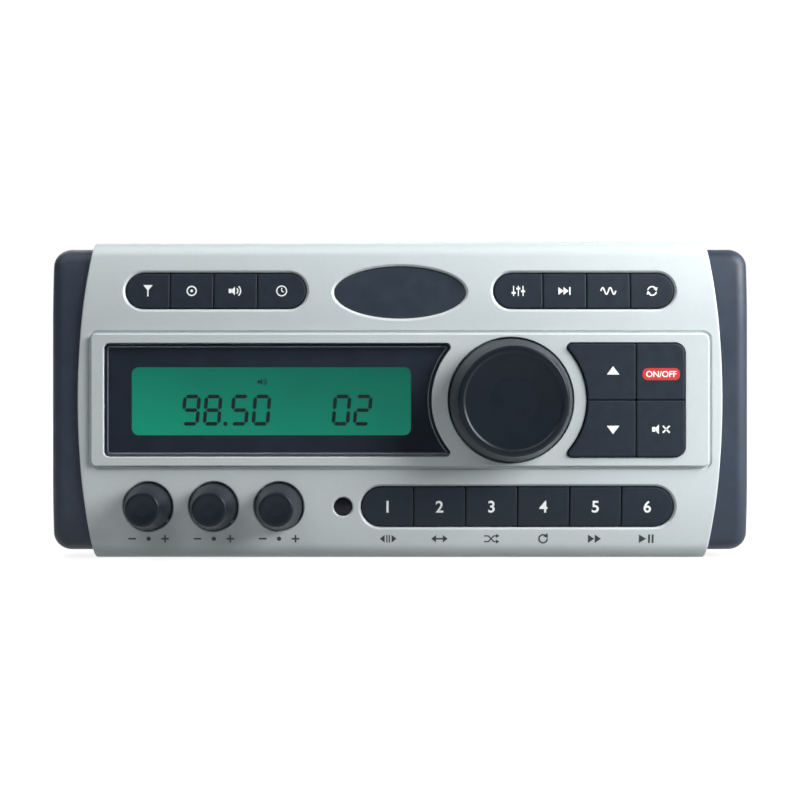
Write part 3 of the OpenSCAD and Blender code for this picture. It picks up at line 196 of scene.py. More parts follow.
def rounded_line(points, radii, turns=5):
    """An open line through points, with inner corner i an arc of radius radii[i].

    The arc touches both sides at radius / tan(half the corner's angle) from the corner, and its centre lies
    on the bisector at radius / sin(half)."""
    points = np.asarray(points, float)
    parts = [points[:1]]
    for before, corner, after, r in zip(points[:-2], points[1:-1], points[2:], radii):
        u, w = unit(before - corner), unit(after - corner)
        half = math.acos(np.clip(u @ w, -1, 1)) / 2
        centre = corner + unit(u + w) * r / math.sin(half)
        a, b = corner + u * r / math.tan(half) - centre, corner + w * r / math.tan(half) - centre
        first = math.atan2(a[1], a[0])
        turn = (math.atan2(b[1], b[0]) - first + math.pi) % (2 * math.pi) - math.pi
        angle = first + turn * np.linspace(0, 1, turns + 1)
        parts.append(centre + r * np.stack([np.cos(angle), np.sin(angle)], -1))
    return np.vstack(parts + [points[-1:]])


def outline(arcs, step=PATH_STEP):
    """A closed line of arcs (centre x, centre z, radius, start, end in degrees) joined by straight stretches.

    Its points are spread evenly along it, about a step apart, over arcs drawn four times as fine."""
    parts = []
    for cx, cz, r, start, end in arcs:
        angle = np.radians(np.linspace(start, end, 2 + int(abs(math.radians(end - start)) * r / step * 4)))
        parts.append(np.stack([cx + r * np.cos(angle), cz + r * np.sin(angle)], -1))
    path = np.vstack(parts + [parts[0][:1]])
    along = np.concatenate([[0], np.cumsum(np.linalg.norm(np.diff(path, axis=0), axis=1))])
    at = np.linspace(0, along[-1], int(along[-1] / step), endpoint=False)
    return np.stack([np.interp(at, along, path[:, 0]), np.interp(at, along, path[:, 1])], -1)


def rectangle(x0, x1, z0, z1, radii, step=PATH_STEP):
    """A rectangle with corner radii in the order lower left, lower right, upper right, upper left."""
    a, b, c, d = radii
    return outline([(x0 + a, z0 + a, a, 180, 270), (x1 - b, z0 + b, b, 270, 360),
                    (x1 - c, z1 - c, c, 0, 90), (x0 + d, z1 - d, d, 90, 180)], step)


def oval(cx, cz, a, b, step=PATH_STEP):
    """An ellipse of half sizes a and b about (cx, cz)."""
    angle = np.linspace(0, 2 * math.pi, int(2 * math.pi * max(a, b) / step), endpoint=False)
    return np.stack([cx + a * np.cos(angle), cz + b * np.sin(angle)], -1)


def normals(path):
    """Outward unit normals of an anticlockwise closed line: its direction turned a quarter clockwise."""
    along = np.roll(path, -1, 0) - np.roll(path, 1, 0)
    return unit(np.stack([along[:, 1], -along[:, 0]], -1))


def grid_faces(rows, columns, around=True):
    """Quads between neighbouring rows and columns of a grid, whose columns close round if asked."""
    i = np.arange(rows - 1)[:, None] * columns
    j = np.arange(columns if around else columns - 1)[None, :]
    k = (j + 1) % columns
    return np.stack([i + j, i + k, i + columns + k, i + columns + j], -1).reshape(-1, 4)


def flat_at(y):
    """A flat surface at depth y."""
    return lambda x, z: y + 0 * z


def placed(flat, surface, depth=0):
    """Flat points put on a surface, a depth behind it."""
    return np.stack([flat[..., 0], surface(flat[..., 0], flat[..., 1]) + depth, flat[..., 1]], -1)


def sweep(path, line, surface):
    """A line of (offset, depth) carried round a closed path: point (i, j) is path i moved offset j along its
    normal, at the surface's depth there plus depth j."""
    flat = path[None] + normals(path)[None] * line[:, 0, None, None]
    return placed(flat, surface, line[:, 1, None]).reshape(-1, 3), grid_faces(len(line), len(path))


def revolved(line, centre, turns=128):
    """A line of (radius, y) turned about an axis along Y through the centre (x, z)."""
    angle = np.linspace(0, 2 * math.pi, turns, endpoint=False)
    r = line[:, 0, None]
    grid = np.stack([centre[0] + r * np.cos(angle), line[:, 1, None] + 0 * angle,
                     centre[1] + r * np.sin(angle)], -1)
    return grid.reshape(-1, 3), grid_faces(len(line), turns)


def inside(points, loop):
    """Whether each point lies in the closed loop: a ray along +x crosses its edges an odd number of times."""
    x, z = points[:, 0, None], points[:, 1, None]
    a, b = loop, np.roll(loop, -1, 0)
    spans = (a[:, 1] > z) != (b[:, 1] > z)
    rise = np.where(b[:, 1] == a[:, 1], LEVEL_RISE, b[:, 1] - a[:, 1])
    crossing = a[:, 0] + (z - a[:, 1]) * (b[:, 0] - a[:, 0]) / rise
    return (np.sum(spans & (x < crossing), 1) % 2) == 1


def between(points, outer, holes):
    """Whether each point lies in the outer loop and in none of its holes."""
    keep = inside(points, outer)
    for hole in holes:
        keep &= ~inside(points, hole)
    return keep


def filled(outer, holes=(), lattice=None):
    """Triangles between an outer loop and its holes, with the lattice points that fall between them."""
    loops = [outer, *holes]
    extra = [] if lattice is None else [lattice[between(lattice, outer, holes)]]
    points = np.vstack(loops + extra)
    starts = np.cumsum([0] + [len(p) for p in loops])
    edges = np.vstack([np.stack([a + np.arange(len(p)), a + (np.arange(len(p)) + 1) % len(p)], -1)
                       for a, p in zip(starts, loops)])
    made = delaunay_2d_cdt(points.tolist(), edges.tolist(), [], 0, SAME_FLAT, False)
    flat, faces = np.array([tuple(v) for v in made[0]]), np.array(made[2])
    return flat, faces[between(flat[faces].mean(1), outer, holes)]


def lattice_over(path, step=FRONT_STEP):
    """Grid points a step apart over the box of a path."""
    lo, hi = path.min(0), path.max(0)
    x, z = np.meshgrid(np.arange(lo[0] + step / 2, hi[0], step), np.arange(lo[1] + step / 2, hi[1], step))
    return np.stack([x.ravel(), z.ravel()], -1)


def piece(name, parts, material, body=BODY, replaces=(), smooth=True):
    """One object from parts of (points, faces): equal points merged and, where smooth, sharp edges kept."""
    points = np.vstack([p for p, f in parts])
    starts = np.cumsum([0] + [len(p) for p, f in parts])
    faces = [face for (p, f), a in zip(parts, starts) for face in (np.asarray(f) + a).tolist()]
    mesh = bpy.data.meshes.new(name)
    mesh.from_pydata(points.tolist(), [], faces)
    work = bmesh.new()
    work.from_mesh(mesh)
    bmesh.ops.remove_doubles(work, verts=work.verts, dist=SAME_POINT)
    work.to_mesh(mesh)
    work.free()
    if smooth:
        mesh.set_sharp_from_angle(angle=SHARP_EDGE)
    mesh.polygons.foreach_set("use_smooth", np.full(len(mesh.polygons), smooth))
    mesh.materials.append(material)
    obj = bpy.data.objects.new(name, mesh)
    bpy.context.scene.collection.objects.link(obj)
    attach(obj, body)
    if replaces:
        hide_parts(*replaces)
    return obj


def thicken(obj, name, thickness):
    """Gives a skin its thickness, from its face inwards."""
    shell = obj.modifiers.new(name, "SOLIDIFY")
    shell.thickness, shell.offset = thickness, -1
    return shell


# The head's own curves

# Points of the side view along each crown and each roll, and half the length over which its slope is taken
CROWN_POINTS, ROLL_POINTS, SLOPE_STEP = 400, 200, 0.02 * MM


class Head:
    """The head from the side: a flat band, arcs of the crown radius, rolled edges, flat top and bottom."""

    def __init__(self, s):
        lo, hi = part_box("fascia")
        self.half_w, self.half_h, self.panel_y, self.rear_y = hi.x, hi.z, lo.y, hi.y
        self.front_y, self.crown_r, self.edge_r, self.flat = -s.head_d, s.crown_r, s.edge_r, s.flat_h / 2
        self.end_r = (self.half_h ** 2 + s.end_bow ** 2) / (2 * s.end_bow)
        self.edge_z = self.half_h - s.edge_r
        self.crown_y = self.front_y + s.crown_r
        self.edge_y = self.crown_y - math.sqrt((s.crown_r - s.edge_r) ** 2 - (self.edge_z - self.flat) ** 2)
        self.turn_z = self.flat + (self.edge_z - self.flat) * s.crown_r / (s.crown_r - s.edge_r)
        self.line_y, self.line_z = self.side_line()
        steps = np.hypot(np.diff(self.line_y), np.diff(self.line_z))
        self.line_t = np.concatenate([[0], np.cumsum(steps)])

    def side_line(self):
        """Points of the side view from the rear of the bottom, round the front, to the rear of the top."""
        turn = math.atan2(self.edge_z - self.flat, self.crown_y - self.edge_y)
        crown = np.linspace(0, turn, CROWN_POINTS)
        roll = np.linspace(turn, math.pi / 2, ROLL_POINTS)[1:]
        y = np.concatenate([self.crown_y - self.crown_r * np.cos(crown),
                            self.edge_y - self.edge_r * np.cos(roll), [self.rear_y]])
        z = np.concatenate([self.flat + self.crown_r * np.sin(crown),
                            self.edge_z + self.edge_r * np.sin(roll), [self.half_h]])
        return np.concatenate([y[::-1], y]), np.concatenate([-z[::-1], z])

    def depth(self, z):
        """Depth of the front at height z: the flat band, the crown's circle, then the roll's circle."""
        a = np.abs(z)
        crown = self.crown_y - np.sqrt(self.crown_r ** 2 - np.clip(a - self.flat, 0, None) ** 2)
        roll = self.edge_y - np.sqrt(self.edge_r ** 2 - np.clip(a - self.edge_z, 0, self.edge_r) ** 2)
        return np.where(a > self.turn_z, roll, crown)

    def below(self, sink=0):
        """The surface a fixed distance behind the front."""
        return lambda x, z: self.depth(z) + sink

    def end_x(self, z):
        """Half width between the bowed ends at height z."""
        return self.half_w - self.end_r + np.sqrt(self.end_r ** 2 - z ** 2)

    def along(self, z):
        """Distance along the side view at height z of the front."""
        return np.interp(z, self.line_z[1:-1], self.line_t[1:-1])

    def at(self, x, t):
        """The point of the skin at x, a distance t along the side view."""
        y, z = np.interp(t, self.line_t, self.line_y), np.interp(t, self.line_t, self.line_z)
        return np.stack([x, y, z], -1)

    def inward(self, t):
        """The direction into the head, square to the skin, at distance t along the side view."""
        ahead = self.at(0 * t, np.clip(t + SLOPE_STEP, 0, self.line_t[-1]))
        tangent = unit(ahead - self.at(0 * t, np.clip(t - SLOPE_STEP, 0, None)))
        return np.stack([0 * t, tangent[..., 2], -tangent[..., 1]], -1)


def middle(node):
    """Middle of a node's box, across and up."""
    lo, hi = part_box(node)
    return (lo.x + hi.x) / 2, (lo.z + hi.z) / 2


def half_size(node):
    """Half the width and half the height of a node's box."""
    lo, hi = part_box(node)
    return (hi.x - lo.x) / 2, (hi.z - lo.z) / 2


def circle_in(node, inset=0, step=PATH_STEP):
    """A circle as wide as a node's box, less an inset all round."""
    r = half_size(node)[0] - inset
    return oval(*middle(node), r, r, step)


def key_ends(node):
    """Whether a row key is the first of its row, and whether it is the last."""
    row = next(r for r in KEY_ROWS if node in r)
    return node == row[0], node == row[-1]


def key_box(node, s):
    """Front rectangle of a row key (x0, x1, z0, z1): its box, less the flange where it has one."""
    lo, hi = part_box(node)
    left, right = (s.key_lip if end else -s.key_close for end in key_ends(node))
    return lo.x + left, hi.x - right, lo.z + s.key_lip, hi.z - s.key_lip


def key_middle(node, s):
    """Middle of a row key's front."""
    x0, x1, z0, z1 = key_box(node, s)
    return (x0 + x1) / 2, (z0 + z1) / 2


def slot_outline(keys, s):
    """The half-round-ended outline round a row of keys."""
    x0, _, z0, z1 = key_box(keys[0], s)
    _, x1, _, _ = key_box(keys[-1], s)
    return rectangle(x0, x1, z0, z1, ((z1 - z0) / 2,) * 4, SLOT_STEP)


def tip_place(top, arc_r, tip_r):
    """A tip's circle that touches the arc about the knob from outside and the edge at top from below: how far
    across from the knob its centre lies, and the angle in degrees at which it is seen from there."""
    reach = math.sqrt((arc_r + tip_r) ** 2 - (top - tip_r) ** 2)
    return reach, math.degrees(math.atan2(top - tip_r, reach))


def land_outline(far, top, arc_r, tip_r, corner_r, side):
    """A plate beside the volume knob, hollowed by an arc of arc_r about it.

    The far edge is |far - knob| away on the given side, and the upper and lower tips are circles that touch
    that arc and the plate's edges."""
    cx, cz = middle("volume_knob")
    reach, turn = tip_place(top, arc_r, tip_r)
    far = abs(far - cx)
    path = outline([
        (far - corner_r, -top + corner_r, corner_r, 270, 360),
        (far - corner_r, top - corner_r, corner_r, 0, 90),
        (reach, top - tip_r, tip_r, 90, 180 + turn), (0, 0, arc_r, turn, -turn),
        (reach, -top + tip_r, tip_r, 180 - turn, 270)])
    if side < 0:
        path = path[::-1] * [-1, 1]
    return path + [cx, cz]


def lens_outline(s):
    """The outline of the display lens, to the left of the volume knob."""
    lo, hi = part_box("display_lens")
    return land_outline(lo.x, hi.z, s.lens_arc_r, s.tip_r, s.lens_corner_r, -1)


def pad_outline(s):
    """The outline of the key pad, to the right of the volume knob."""
    _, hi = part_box("power_key")
    return land_outline(hi.x - s.key_lip, hi.z - s.key_lip, s.pad_arc_r, s.tip_r, s.pad_corner_r, 1)


# Finishes

# Noise values between which a pattern runs from one end to the other
NOISE_LOW, NOISE_HIGH = 0.3, 0.7
# Level of the display's backlight at its left and right ends, what its foot and top add, and the share and the
# size in millimetres of its clouds
LIT_LEFT, LIT_RIGHT, LIT_FOOT, LIT_TOP, LIT_CLOUD, CLOUD_SIZE = 0.62, 0.4, 0.14, -0.2, 0.12, 22


def add(tree, kind, inputs=None, **settings):
    """Adds a node, sets its properties, and gives each named input a value or links it to a socket."""
    node = tree.nodes.new(kind)
    for name, value in settings.items():
        setattr(node, name, value)
    for name, value in (inputs or {}).items():
        if isinstance(value, bpy.types.NodeSocket):
            tree.links.new(value, node.inputs[name])
        else:
            node.inputs[name].default_value = value
    return node


def per_mm(size):
    """Texture scale at which a pattern's features are about this many millimetres across."""
    return 1000 / size


def start(name, **shader):
    """A new material: its tree, its main shader with the given inputs, and the object's own coordinates."""
    material = bpy.data.materials.new(name)
    material.use_nodes = True
    tree = material.node_tree
    tree.nodes.clear()
    main = add(tree, "ShaderNodeBsdfPrincipled", {k.replace("_", " "): v for k, v in shader.items()})
    add(tree, "ShaderNodeOutputMaterial", {"Surface": main.outputs["BSDF"]}, name="out")
    place = add(tree, "ShaderNodeTexCoord").outputs["Object"]
    return material, tree, main, place


def varied(tree, main, place, base, size, amount):
    """Mottles the base colour by noise of the given size, between base less and plus the amount."""
    noise = add(tree, "ShaderNodeTexNoise", {"Vector": place, "Scale": per_mm(size), "Detail": 3})
    ramp = add(tree, "ShaderNodeValToRGB", {"Fac": noise.outputs["Fac"]})
    low, high = ramp.color_ramp.elements
    low.position, high.position = NOISE_LOW, NOISE_HIGH
    low.color = (*(c * (1 - amount) for c in base[:3]), 1)
    high.color = (*(min(1, c * (1 + amount)) for c in base[:3]), 1)
    tree.links.new(ramp.outputs["Color"], main.inputs["Base Color"])


def uneven_shine(tree, main, place, low, high, size):
    """Roughness that wanders between low and high over patches of the given size."""
    noise = add(tree, "ShaderNodeTexNoise", {"Vector": place, "Scale": per_mm(size), "Detail": 4})
    spread = add(tree, "ShaderNodeMapRange", {
        "Value": noise.outputs["Fac"], "From Min": NOISE_LOW, "From Max": NOISE_HIGH, "To Min": low,
        "To Max": high})
    tree.links.new(spread.outputs["Result"], main.inputs["Roughness"])


def grained(tree, main, place, size, strength, height):
    """A moulded grain of the given size and height, as bump."""
    noise = add(tree, "ShaderNodeTexNoise", {"Vector": place, "Scale": per_mm(size), "Detail": 2})
    bump = add(tree, "ShaderNodeBump", {
        "Height": noise.outputs["Fac"], "Strength": strength, "Distance": height * MM})
    tree.links.new(bump.outputs["Normal"], main.inputs["Normal"])


def finish(name, base, mottle, shine=None, grain=None, stretch=None, **shader):
    """A finish of one colour, sizes in millimetres.

    mottle is (size, amount) of the colour, shine (low, high, size) of the roughness, grain (size, strength,
    height) of the bump, and stretch the scale of that grain along each axis."""
    material, tree, main, place = start(name, **shader)
    varied(tree, main, place, base, *mottle)
    if shine:
        uneven_shine(tree, main, place, *shine)
    if stretch:
        place = add(tree, "ShaderNodeMapping", {"Vector": place, "Scale": stretch}).outputs["Vector"]
    if grain:
        grained(tree, main, place, *grain)
    return material


def silver_lacquer(c):
    """Satin silver lacquer on moulded ABS: fine metal flakes under a soft clear film."""
    # Flakes are under 0.1 mm, drawn at 0.35 mm so that they show
    return finish("silver_lacquer_on_abs", c.silver, (0.35, 0.035), (0.36, 0.46, 4),
                  Metallic=0.1, Coat_Weight=0.1, Coat_Roughness=0.2)


def end_cap_plastic(c):
    """Charcoal ABS with a fine spark-eroded grain, which breaks up its highlights."""
    return finish("grained_charcoal_abs", c.cap, (6, 0.1), (0.42, 0.58, 5), (0.3, 0.35, 0.05),
                  IOR=1.53, Specular_IOR_Level=0.35)


def key_rubber(c):
    """Moulded silicone rubber with a matt coating: dark, with a faint broad sheen."""
    return finish("matt_silicone_rubber", c.rubber, (3, 0.12), (0.5, 0.64, 3), (0.25, 0.2, 0.03),
                  IOR=1.42, Specular_IOR_Level=0.3)


def knob_plastic(c):
    """Soft-touch painted ABS: near black, with a satin sheen that hides moulding marks."""
    return finish("soft_touch_abs", c.knob, (4, 0.06), (0.32, 0.38, 8), (0.25, 0.1, 0.02),
                  IOR=1.5, Specular_IOR_Level=0.22)


def badge_plastic(c):
    """Smooth dark ABS with a low polish."""
    return finish("smooth_dark_abs", c.badge, (5, 0.08), (0.28, 0.36, 5), IOR=1.53)


def clear_acrylic():
    """Polished clear acrylic, which refracts and mirrors."""
    material, tree, main, place = start(
        "clear_acrylic", Base_Color=linear("fbfdfd"), IOR=1.49, Transmission_Weight=1.0)
    # Handling leaves a film that dulls the polish in patches
    uneven_shine(tree, main, place, 0.0, 0.04, 9)
    # Light passes straight through to what lies behind
    clear = add(tree, "ShaderNodeBsdfTransparent")
    shadow = add(tree, "ShaderNodeLightPath").outputs["Is Shadow Ray"]
    both = add(tree, "ShaderNodeMixShader", {0: shadow, 1: main.outputs["BSDF"], 2: clear.outputs["BSDF"]})
    tree.links.new(both.outputs["Shader"], tree.nodes["out"].inputs["Surface"])
    return material


def display_film():
    """Black screen print on clear film: even and glossy behind the lens."""
    return finish("black_screen_print", linear("262e3c"), (8, 0.15), Roughness=0.35)


def display_field(c):
    """Liquid crystal lit from behind.

    Its level falls evenly from the lower left to the upper right."""
    material, tree, main, place = start(
        "backlit_liquid_crystal", Base_Color=linear("021a14"), Roughness=0.3, Specular_IOR_Level=0.1,
        Emission_Strength=1.0)
    axes = add(tree, "ShaderNodeSeparateXYZ", {"Vector": place})
    lo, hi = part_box("lcd_panel")
    across = add(tree, "ShaderNodeMapRange", {
        "Value": axes.outputs["X"], "From Min": lo.x, "From Max": hi.x, "To Min": LIT_LEFT,
        "To Max": LIT_RIGHT})
    up = add(tree, "ShaderNodeMapRange", {
        "Value": axes.outputs["Z"], "From Min": lo.z, "From Max": hi.z, "To Min": LIT_FOOT,
        "To Max": LIT_TOP})
    both = add(tree, "ShaderNodeMath", {0: across.outputs["Result"], 1: up.outputs["Result"]},
               operation="ADD")
    cloud = add(tree, "ShaderNodeTexNoise", {"Vector": place, "Scale": per_mm(CLOUD_SIZE), "Detail": 1})
    level = add(tree, "ShaderNodeMath", {0: cloud.outputs["Fac"], 1: LIT_CLOUD, 2: both.outputs[0]},
                operation="MULTIPLY_ADD")
    ramp = add(tree, "ShaderNodeValToRGB", {"Fac": level.outputs[0]})
    low, high = ramp.color_ramp.elements
    low.color, high.color = linear("003a30"), linear("02a07e")
    ramp.color_ramp.elements.new(0.5).color = tuple(c.lcd)
    tree.links.new(ramp.outputs["Color"], main.inputs["Emission Color"])
    return material


def ink(name, base, shine=0.5):
    """Pad-printed ink: flat and even, a little mottled by the pad."""
    return finish(name, base, (1.2, 0.06), Roughness=0.55, Specular_IOR_Level=shine)


def plain_plastic(name, hex_value, rough, shine=0.5):
    """Moulded engineering plastic with a faint flow mottle and grain."""
    return finish(name, linear(hex_value), (6, 0.08), (rough - 0.08, rough + 0.08, 5), (0.4, 0.15, 0.03),
                  IOR=1.5, Specular_IOR_Level=shine)


def zinc_sheet():
    """Zinc-plated sheet steel: grey metal with a fine rolled grain and cloudy plating."""
    # Rolling lines are finer than this, drawn 0.5 mm apart so that they show
    return finish("zinc_plated_sheet_steel", linear("8c9094"), (14, 0.07), (0.6, 0.7, 9), (0.5, 0.12, 0.03),
                  (1, 0.06, 1), Metallic=1.0)


def nickel_plate():
    """Nickel-plated steel: bright metal, slightly warm, with small handling marks."""
    return finish("nickel_plated_steel", linear("c4c1ba"), (3, 0.06), (0.18, 0.34, 2), Metallic=1.0)


def black_anodised():
    """Extruded aluminium, anodised black: dark satin metal with faint lines along the extrusion."""
    return finish("black_anodised_aluminium", linear("26282b"), (5, 0.15), (0.36, 0.5, 6), (0.4, 0.2, 0.03),
                  (1, 1, 0.05), Metallic=0.6)


def circuit_board():
    """Glass-epoxy laminate under green solder mask, with its copper showing as lighter tracks."""
    material, tree, main, place = start("green_solder_mask", Roughness=0.35, IOR=1.55)
    cells = add(tree, "ShaderNodeTexVoronoi", {"Vector": place, "Scale": per_mm(3)}, distance="MANHATTAN")
    ramp = add(tree, "ShaderNodeValToRGB", {"Fac": cells.outputs["Distance"]})
    low, high = ramp.color_ramp.elements
    low.position, high.position = 0.42, 0.5
    low.color, high.color = linear("12502c"), linear("2a7444")
    tree.links.new(ramp.outputs["Color"], main.inputs["Base Color"])
    return material


# Finishes of the nodes that keep their construction shape
MADE_OF = (
    (nickel_plate, ["remote_receiver", "volume_encoder", "tone_pots", "head_screws", "chassis_screws",
                    "tuner_module", "antenna_socket", "rear_stud", "volume_shaft", "fader_shaft",
                    "treble_shaft", "bass_shaft"]),
    (zinc_sheet, ["chassis_tray", "chassis_cover"]),
    (black_anodised, ["heat_sink"]),
    (circuit_board, ["control_board", "main_board"]),
)
# The same in plain plastics: name, colour, roughness and nodes
PLASTICS = (
    ("black_glass_filled_nylon", "1d1f22", 0.5,
     ["head_back", "key_switches", "amplifier_chip", "line_out_sockets", "fuse_holder"]),
    ("black_nitrile_rubber", "17181a", 0.72, ["dash_gasket", "shaft_seals"]),
    ("natural_nylon", "dcd8cb", 0.45, ["harness_socket", "board_link", "lcd_frame"]),
    ("frosted_acrylic", "d5e8df", 0.5, ["light_guide"]),
    ("navy_shrink_sleeve", "20283f", 0.3, ["capacitors"]),
    ("amber_polycarbonate", "d98a1c", 0.2, ["fuse"]),
)


# Printed marks

# Points of a drawn circle or arc and of a drawn wave, and the shortest step along a disc
RING_POINTS, WAVE_POINTS, DISC_STEP = 49, 41, 0.05 * MM


def stroke(points, width, closed=False):
    """A line of the given width along points, as one flat loop with square ends: offset to one side going out,
    to the other coming back. A closed line gives an outer loop and a hole."""
    path = np.asarray(points, float)
    step = np.gradient(path, axis=0) if not closed else np.roll(path, -1, 0) - np.roll(path, 1, 0)
    side = unit(np.stack([-step[:, 1], step[:, 0]], -1)) * width / 2
    if closed:
        return path - side, [path + side]
    return np.vstack([path - side, (path + side)[::-1]]), []


def disc(x, z, r):
    """A filled circle."""
    return oval(x, z, r, r, max(r / 6, DISC_STEP)), []


def ring(x, z, r, width, start=0, end=360):
    """A circle, or an arc between two angles in degrees, drawn with the given width."""
    closed = end - start >= 360
    angle = np.radians(np.linspace(start, end, RING_POINTS))[:-1 if closed else None]
    return stroke(np.stack([x + r * np.cos(angle), z + r * np.sin(angle)], -1), width, closed)


def bar(x0, z0, x1, z1):
    """A filled rectangle."""
    return np.array([(x0, z0), (x1, z0), (x1, z1), (x0, z1)], float), []


def triangle(x, z, w, h, turn):
    """A filled triangle of base w and height h about (x, z), pointing up and turned by turn degrees."""
    points = np.array([(-w / 2, -h / 2), (w / 2, -h / 2), (0, h / 2)])
    a = math.radians(turn)
    spin = np.array([(math.cos(a), math.sin(a)), (-math.sin(a), math.cos(a))])
    return points @ spin + [x, z], []


def wave(half_w, height, width):
    """Two periods of a sine drawn with the given width."""
    x = np.linspace(-half_w, half_w, WAVE_POINTS)
    return stroke(np.stack([x, height * np.sin(2 * math.pi * x / half_w)], -1), width)


def moved(shapes, x, z, scale=1.0):
    """Shapes scaled about the origin, then moved to (x, z)."""
    return [(outer * scale + [x, z], [hole * scale + [x, z] for hole in holes]) for outer, holes in shapes]


# Pictograms, about 3 units across, drawn about the origin and scaled where they are used
MARKS = {
    "antenna": [bar(-0.16, -1.4, 0.16, 1.4), triangle(0, 0.75, 2.4, 1.5, 180)],
    "one_channel": [ring(0, 0, 1.15, 0.34), disc(0, 0, 0.36)],
    "loud": [bar(-1.7, -0.55, -0.95, 0.55), triangle(-0.65, 0, 2.2, 1.1, 90),
             ring(-0.2, 0, 0.85, 0.3, -50, 50), ring(-0.2, 0, 1.55, 0.3, -50, 50)],
    "clock": [ring(0, 0, 1.25, 0.3), stroke([(0.5, -0.3), (0, 0), (0, 0.8)], 0.28)],
    "sliders": [shape for x, z in ((-1.2, -0.5), (0, 0.6), (1.2, -0.1))
                for shape in (bar(x - 0.13, -1.3, x + 0.13, 1.3), bar(x - 0.5, z - 0.25, x + 0.5, z + 0.25))],
    "seek": [triangle(-0.95, 0, 2.0, 1.3, -90), triangle(0.35, 0, 2.0, 1.3, -90), bar(1.15, -1, 1.5, 1)],
    "wave": [wave(1.9, 0.85, 0.34)],
    "source": [ring(0, 0, 1.1, 0.32, 30, 165), ring(0, 0, 1.1, 0.32, 210, 345),
               triangle(1.0, 0.35, 1.1, 0.9, 195), triangle(-1.0, -0.35, 1.1, 0.9, 15)],
    "mute": [bar(-1.9, -0.5, -1.25, 0.5), triangle(-1.0, 0, 2.0, 1.0, 90),
             stroke([(0.3, -0.7), (1.7, 0.7)], 0.34), stroke([(0.3, 0.7), (1.7, -0.7)], 0.34)],
    "play": [triangle(-0.9, 0, 1.8, 1.5, -90), bar(0.25, -0.9, 0.65, 0.9), bar(1.0, -0.9, 1.4, 0.9)],
    "scan": [triangle(-0.8, 0, 1.8, 1.3, -90), triangle(0.6, 0, 1.8, 1.3, -90)],
    "repeat": [ring(0, 0, 0.85, 0.3, 60, 360), triangle(0.72, 0.5, 1.1, 0.9, 215)],
    "random": [stroke([(-1.5, -0.6), (-0.6, -0.6), (0.5, 0.6), (1.0, 0.6)], 0.28),
               stroke([(-1.5, 0.6), (-0.6, 0.6), (0.5, -0.6), (1.0, -0.6)], 0.28),
               triangle(1.35, 0.6, 0.9, 0.7, -90), triangle(1.35, -0.6, 0.9, 0.7, -90)],
    "both_ways": [triangle(-1.2, 0, 1.6, 1.0, 90), bar(-0.7, -0.17, 0.7, 0.17),
                  triangle(1.2, 0, 1.6, 1.0, -90)],
    "steps": [triangle(-1.1, 0, 1.6, 1.0, 90), bar(-0.25, -0.8, 0.0, 0.8), bar(0.25, -0.8, 0.5, 0.8),
              triangle(1.35, 0, 1.6, 1.0, -90)],
    "range": [bar(-4.2, -0.17, -2.6, 0.17), disc(0, 0, 0.45), bar(2.6, -0.17, 4.2, 0.17),
              bar(3.23, -0.8, 3.57, 0.8)],
    "point": [bar(-0.6, -0.6, 0.6, 0.6)],
}
FUNCTION_MARKS = ("antenna", "one_channel", "loud", "clock", "sliders", "seek", "wave", "source")
LABEL_MARKS = ("steps", "both_ways", "random", "repeat", "scan", "play")
# Marks of the pad: the upper arrow, and the middles of the power field and the mute mark
ARROW_X, ARROW_Z, ARROW_W, ARROW_H = 65.8 * MM, 9.2 * MM, 3.9 * MM, 2.6 * MM
POWER_AT, MUTE_AT = (80.7 * MM, 8.05 * MM), (80.7 * MM, -9.0 * MM)
# Height of the power words as a share of their field's, and corner radius as a share of half that height
POWER_TEXT, PILL_ROUND = 0.52, 0.8
# Share of a mark's height above its surface that its ink fills
INK_SHARE = 0.8

# Segments lit in 0 to 9, named a to f from the top round clockwise to the upper left, then g in the middle
LIT = ("abcdef", "bc", "abdeg", "abcdg", "bcfg", "acdfg", "acdefg", "abc", "abcdefg", "abcdfg")
# Width, stroke, gap and lean of such a numeral as shares of its height
LCD_W, LCD_STROKE, LCD_GAP, LCD_LEAN = 0.52, 0.135, 0.02, 0.08
# Numerals of the display (x in mm, digit), the height of their middles, and the places of its point and its
# small mark with the scale of that mark
LCD_DIGITS = ((-65.0, 9), (-58.3, 8), (-49.8, 5), (-43.1, 0), (-18.2, 0), (-11.6, 2))
LCD_Z, LCD_POINT_X, LCD_MARK_AT, LCD_MARK_SCALE = -3.2 * MM, -54.3 * MM, (-42.8 * MM, 5.6 * MM), 0.9 * MM
# How far the program's font is made bolder, as a share of its size
FONT_BOLD = 0.018


def segment_numeral(digit, h):
    """A seven-segment numeral of height h, leaning a little: pointed bars with small gaps between them."""
    x, z, t = LCD_W * h / 2, h / 2, LCD_STROKE * h
    ends = {"a": ((-x, z), (x, z)), "b": ((x, z), (x, 0)), "c": ((x, 0), (x, -z)), "d": ((-x, -z), (x, -z)),
            "e": ((-x, 0), (-x, -z)), "f": ((-x, z), (-x, 0)), "g": ((-x, 0), (x, 0))}
    shapes = []
    for name in LIT[digit]:
        a, b = (np.array(p) for p in ends[name])
        u = unit(b - a)
        n = np.array([-u[1], u[0]]) * t / 2
        a, b = a + u * LCD_GAP * h, b - u * LCD_GAP * h
        loop = np.array([a, a + u * t / 2 - n, b - u * t / 2 - n, b, b - u * t / 2 + n, a + u * t / 2 + n])
        shapes.append((loop + np.stack([LCD_LEAN * loop[:, 1], 0 * loop[:, 1]], -1), []))
    return shapes


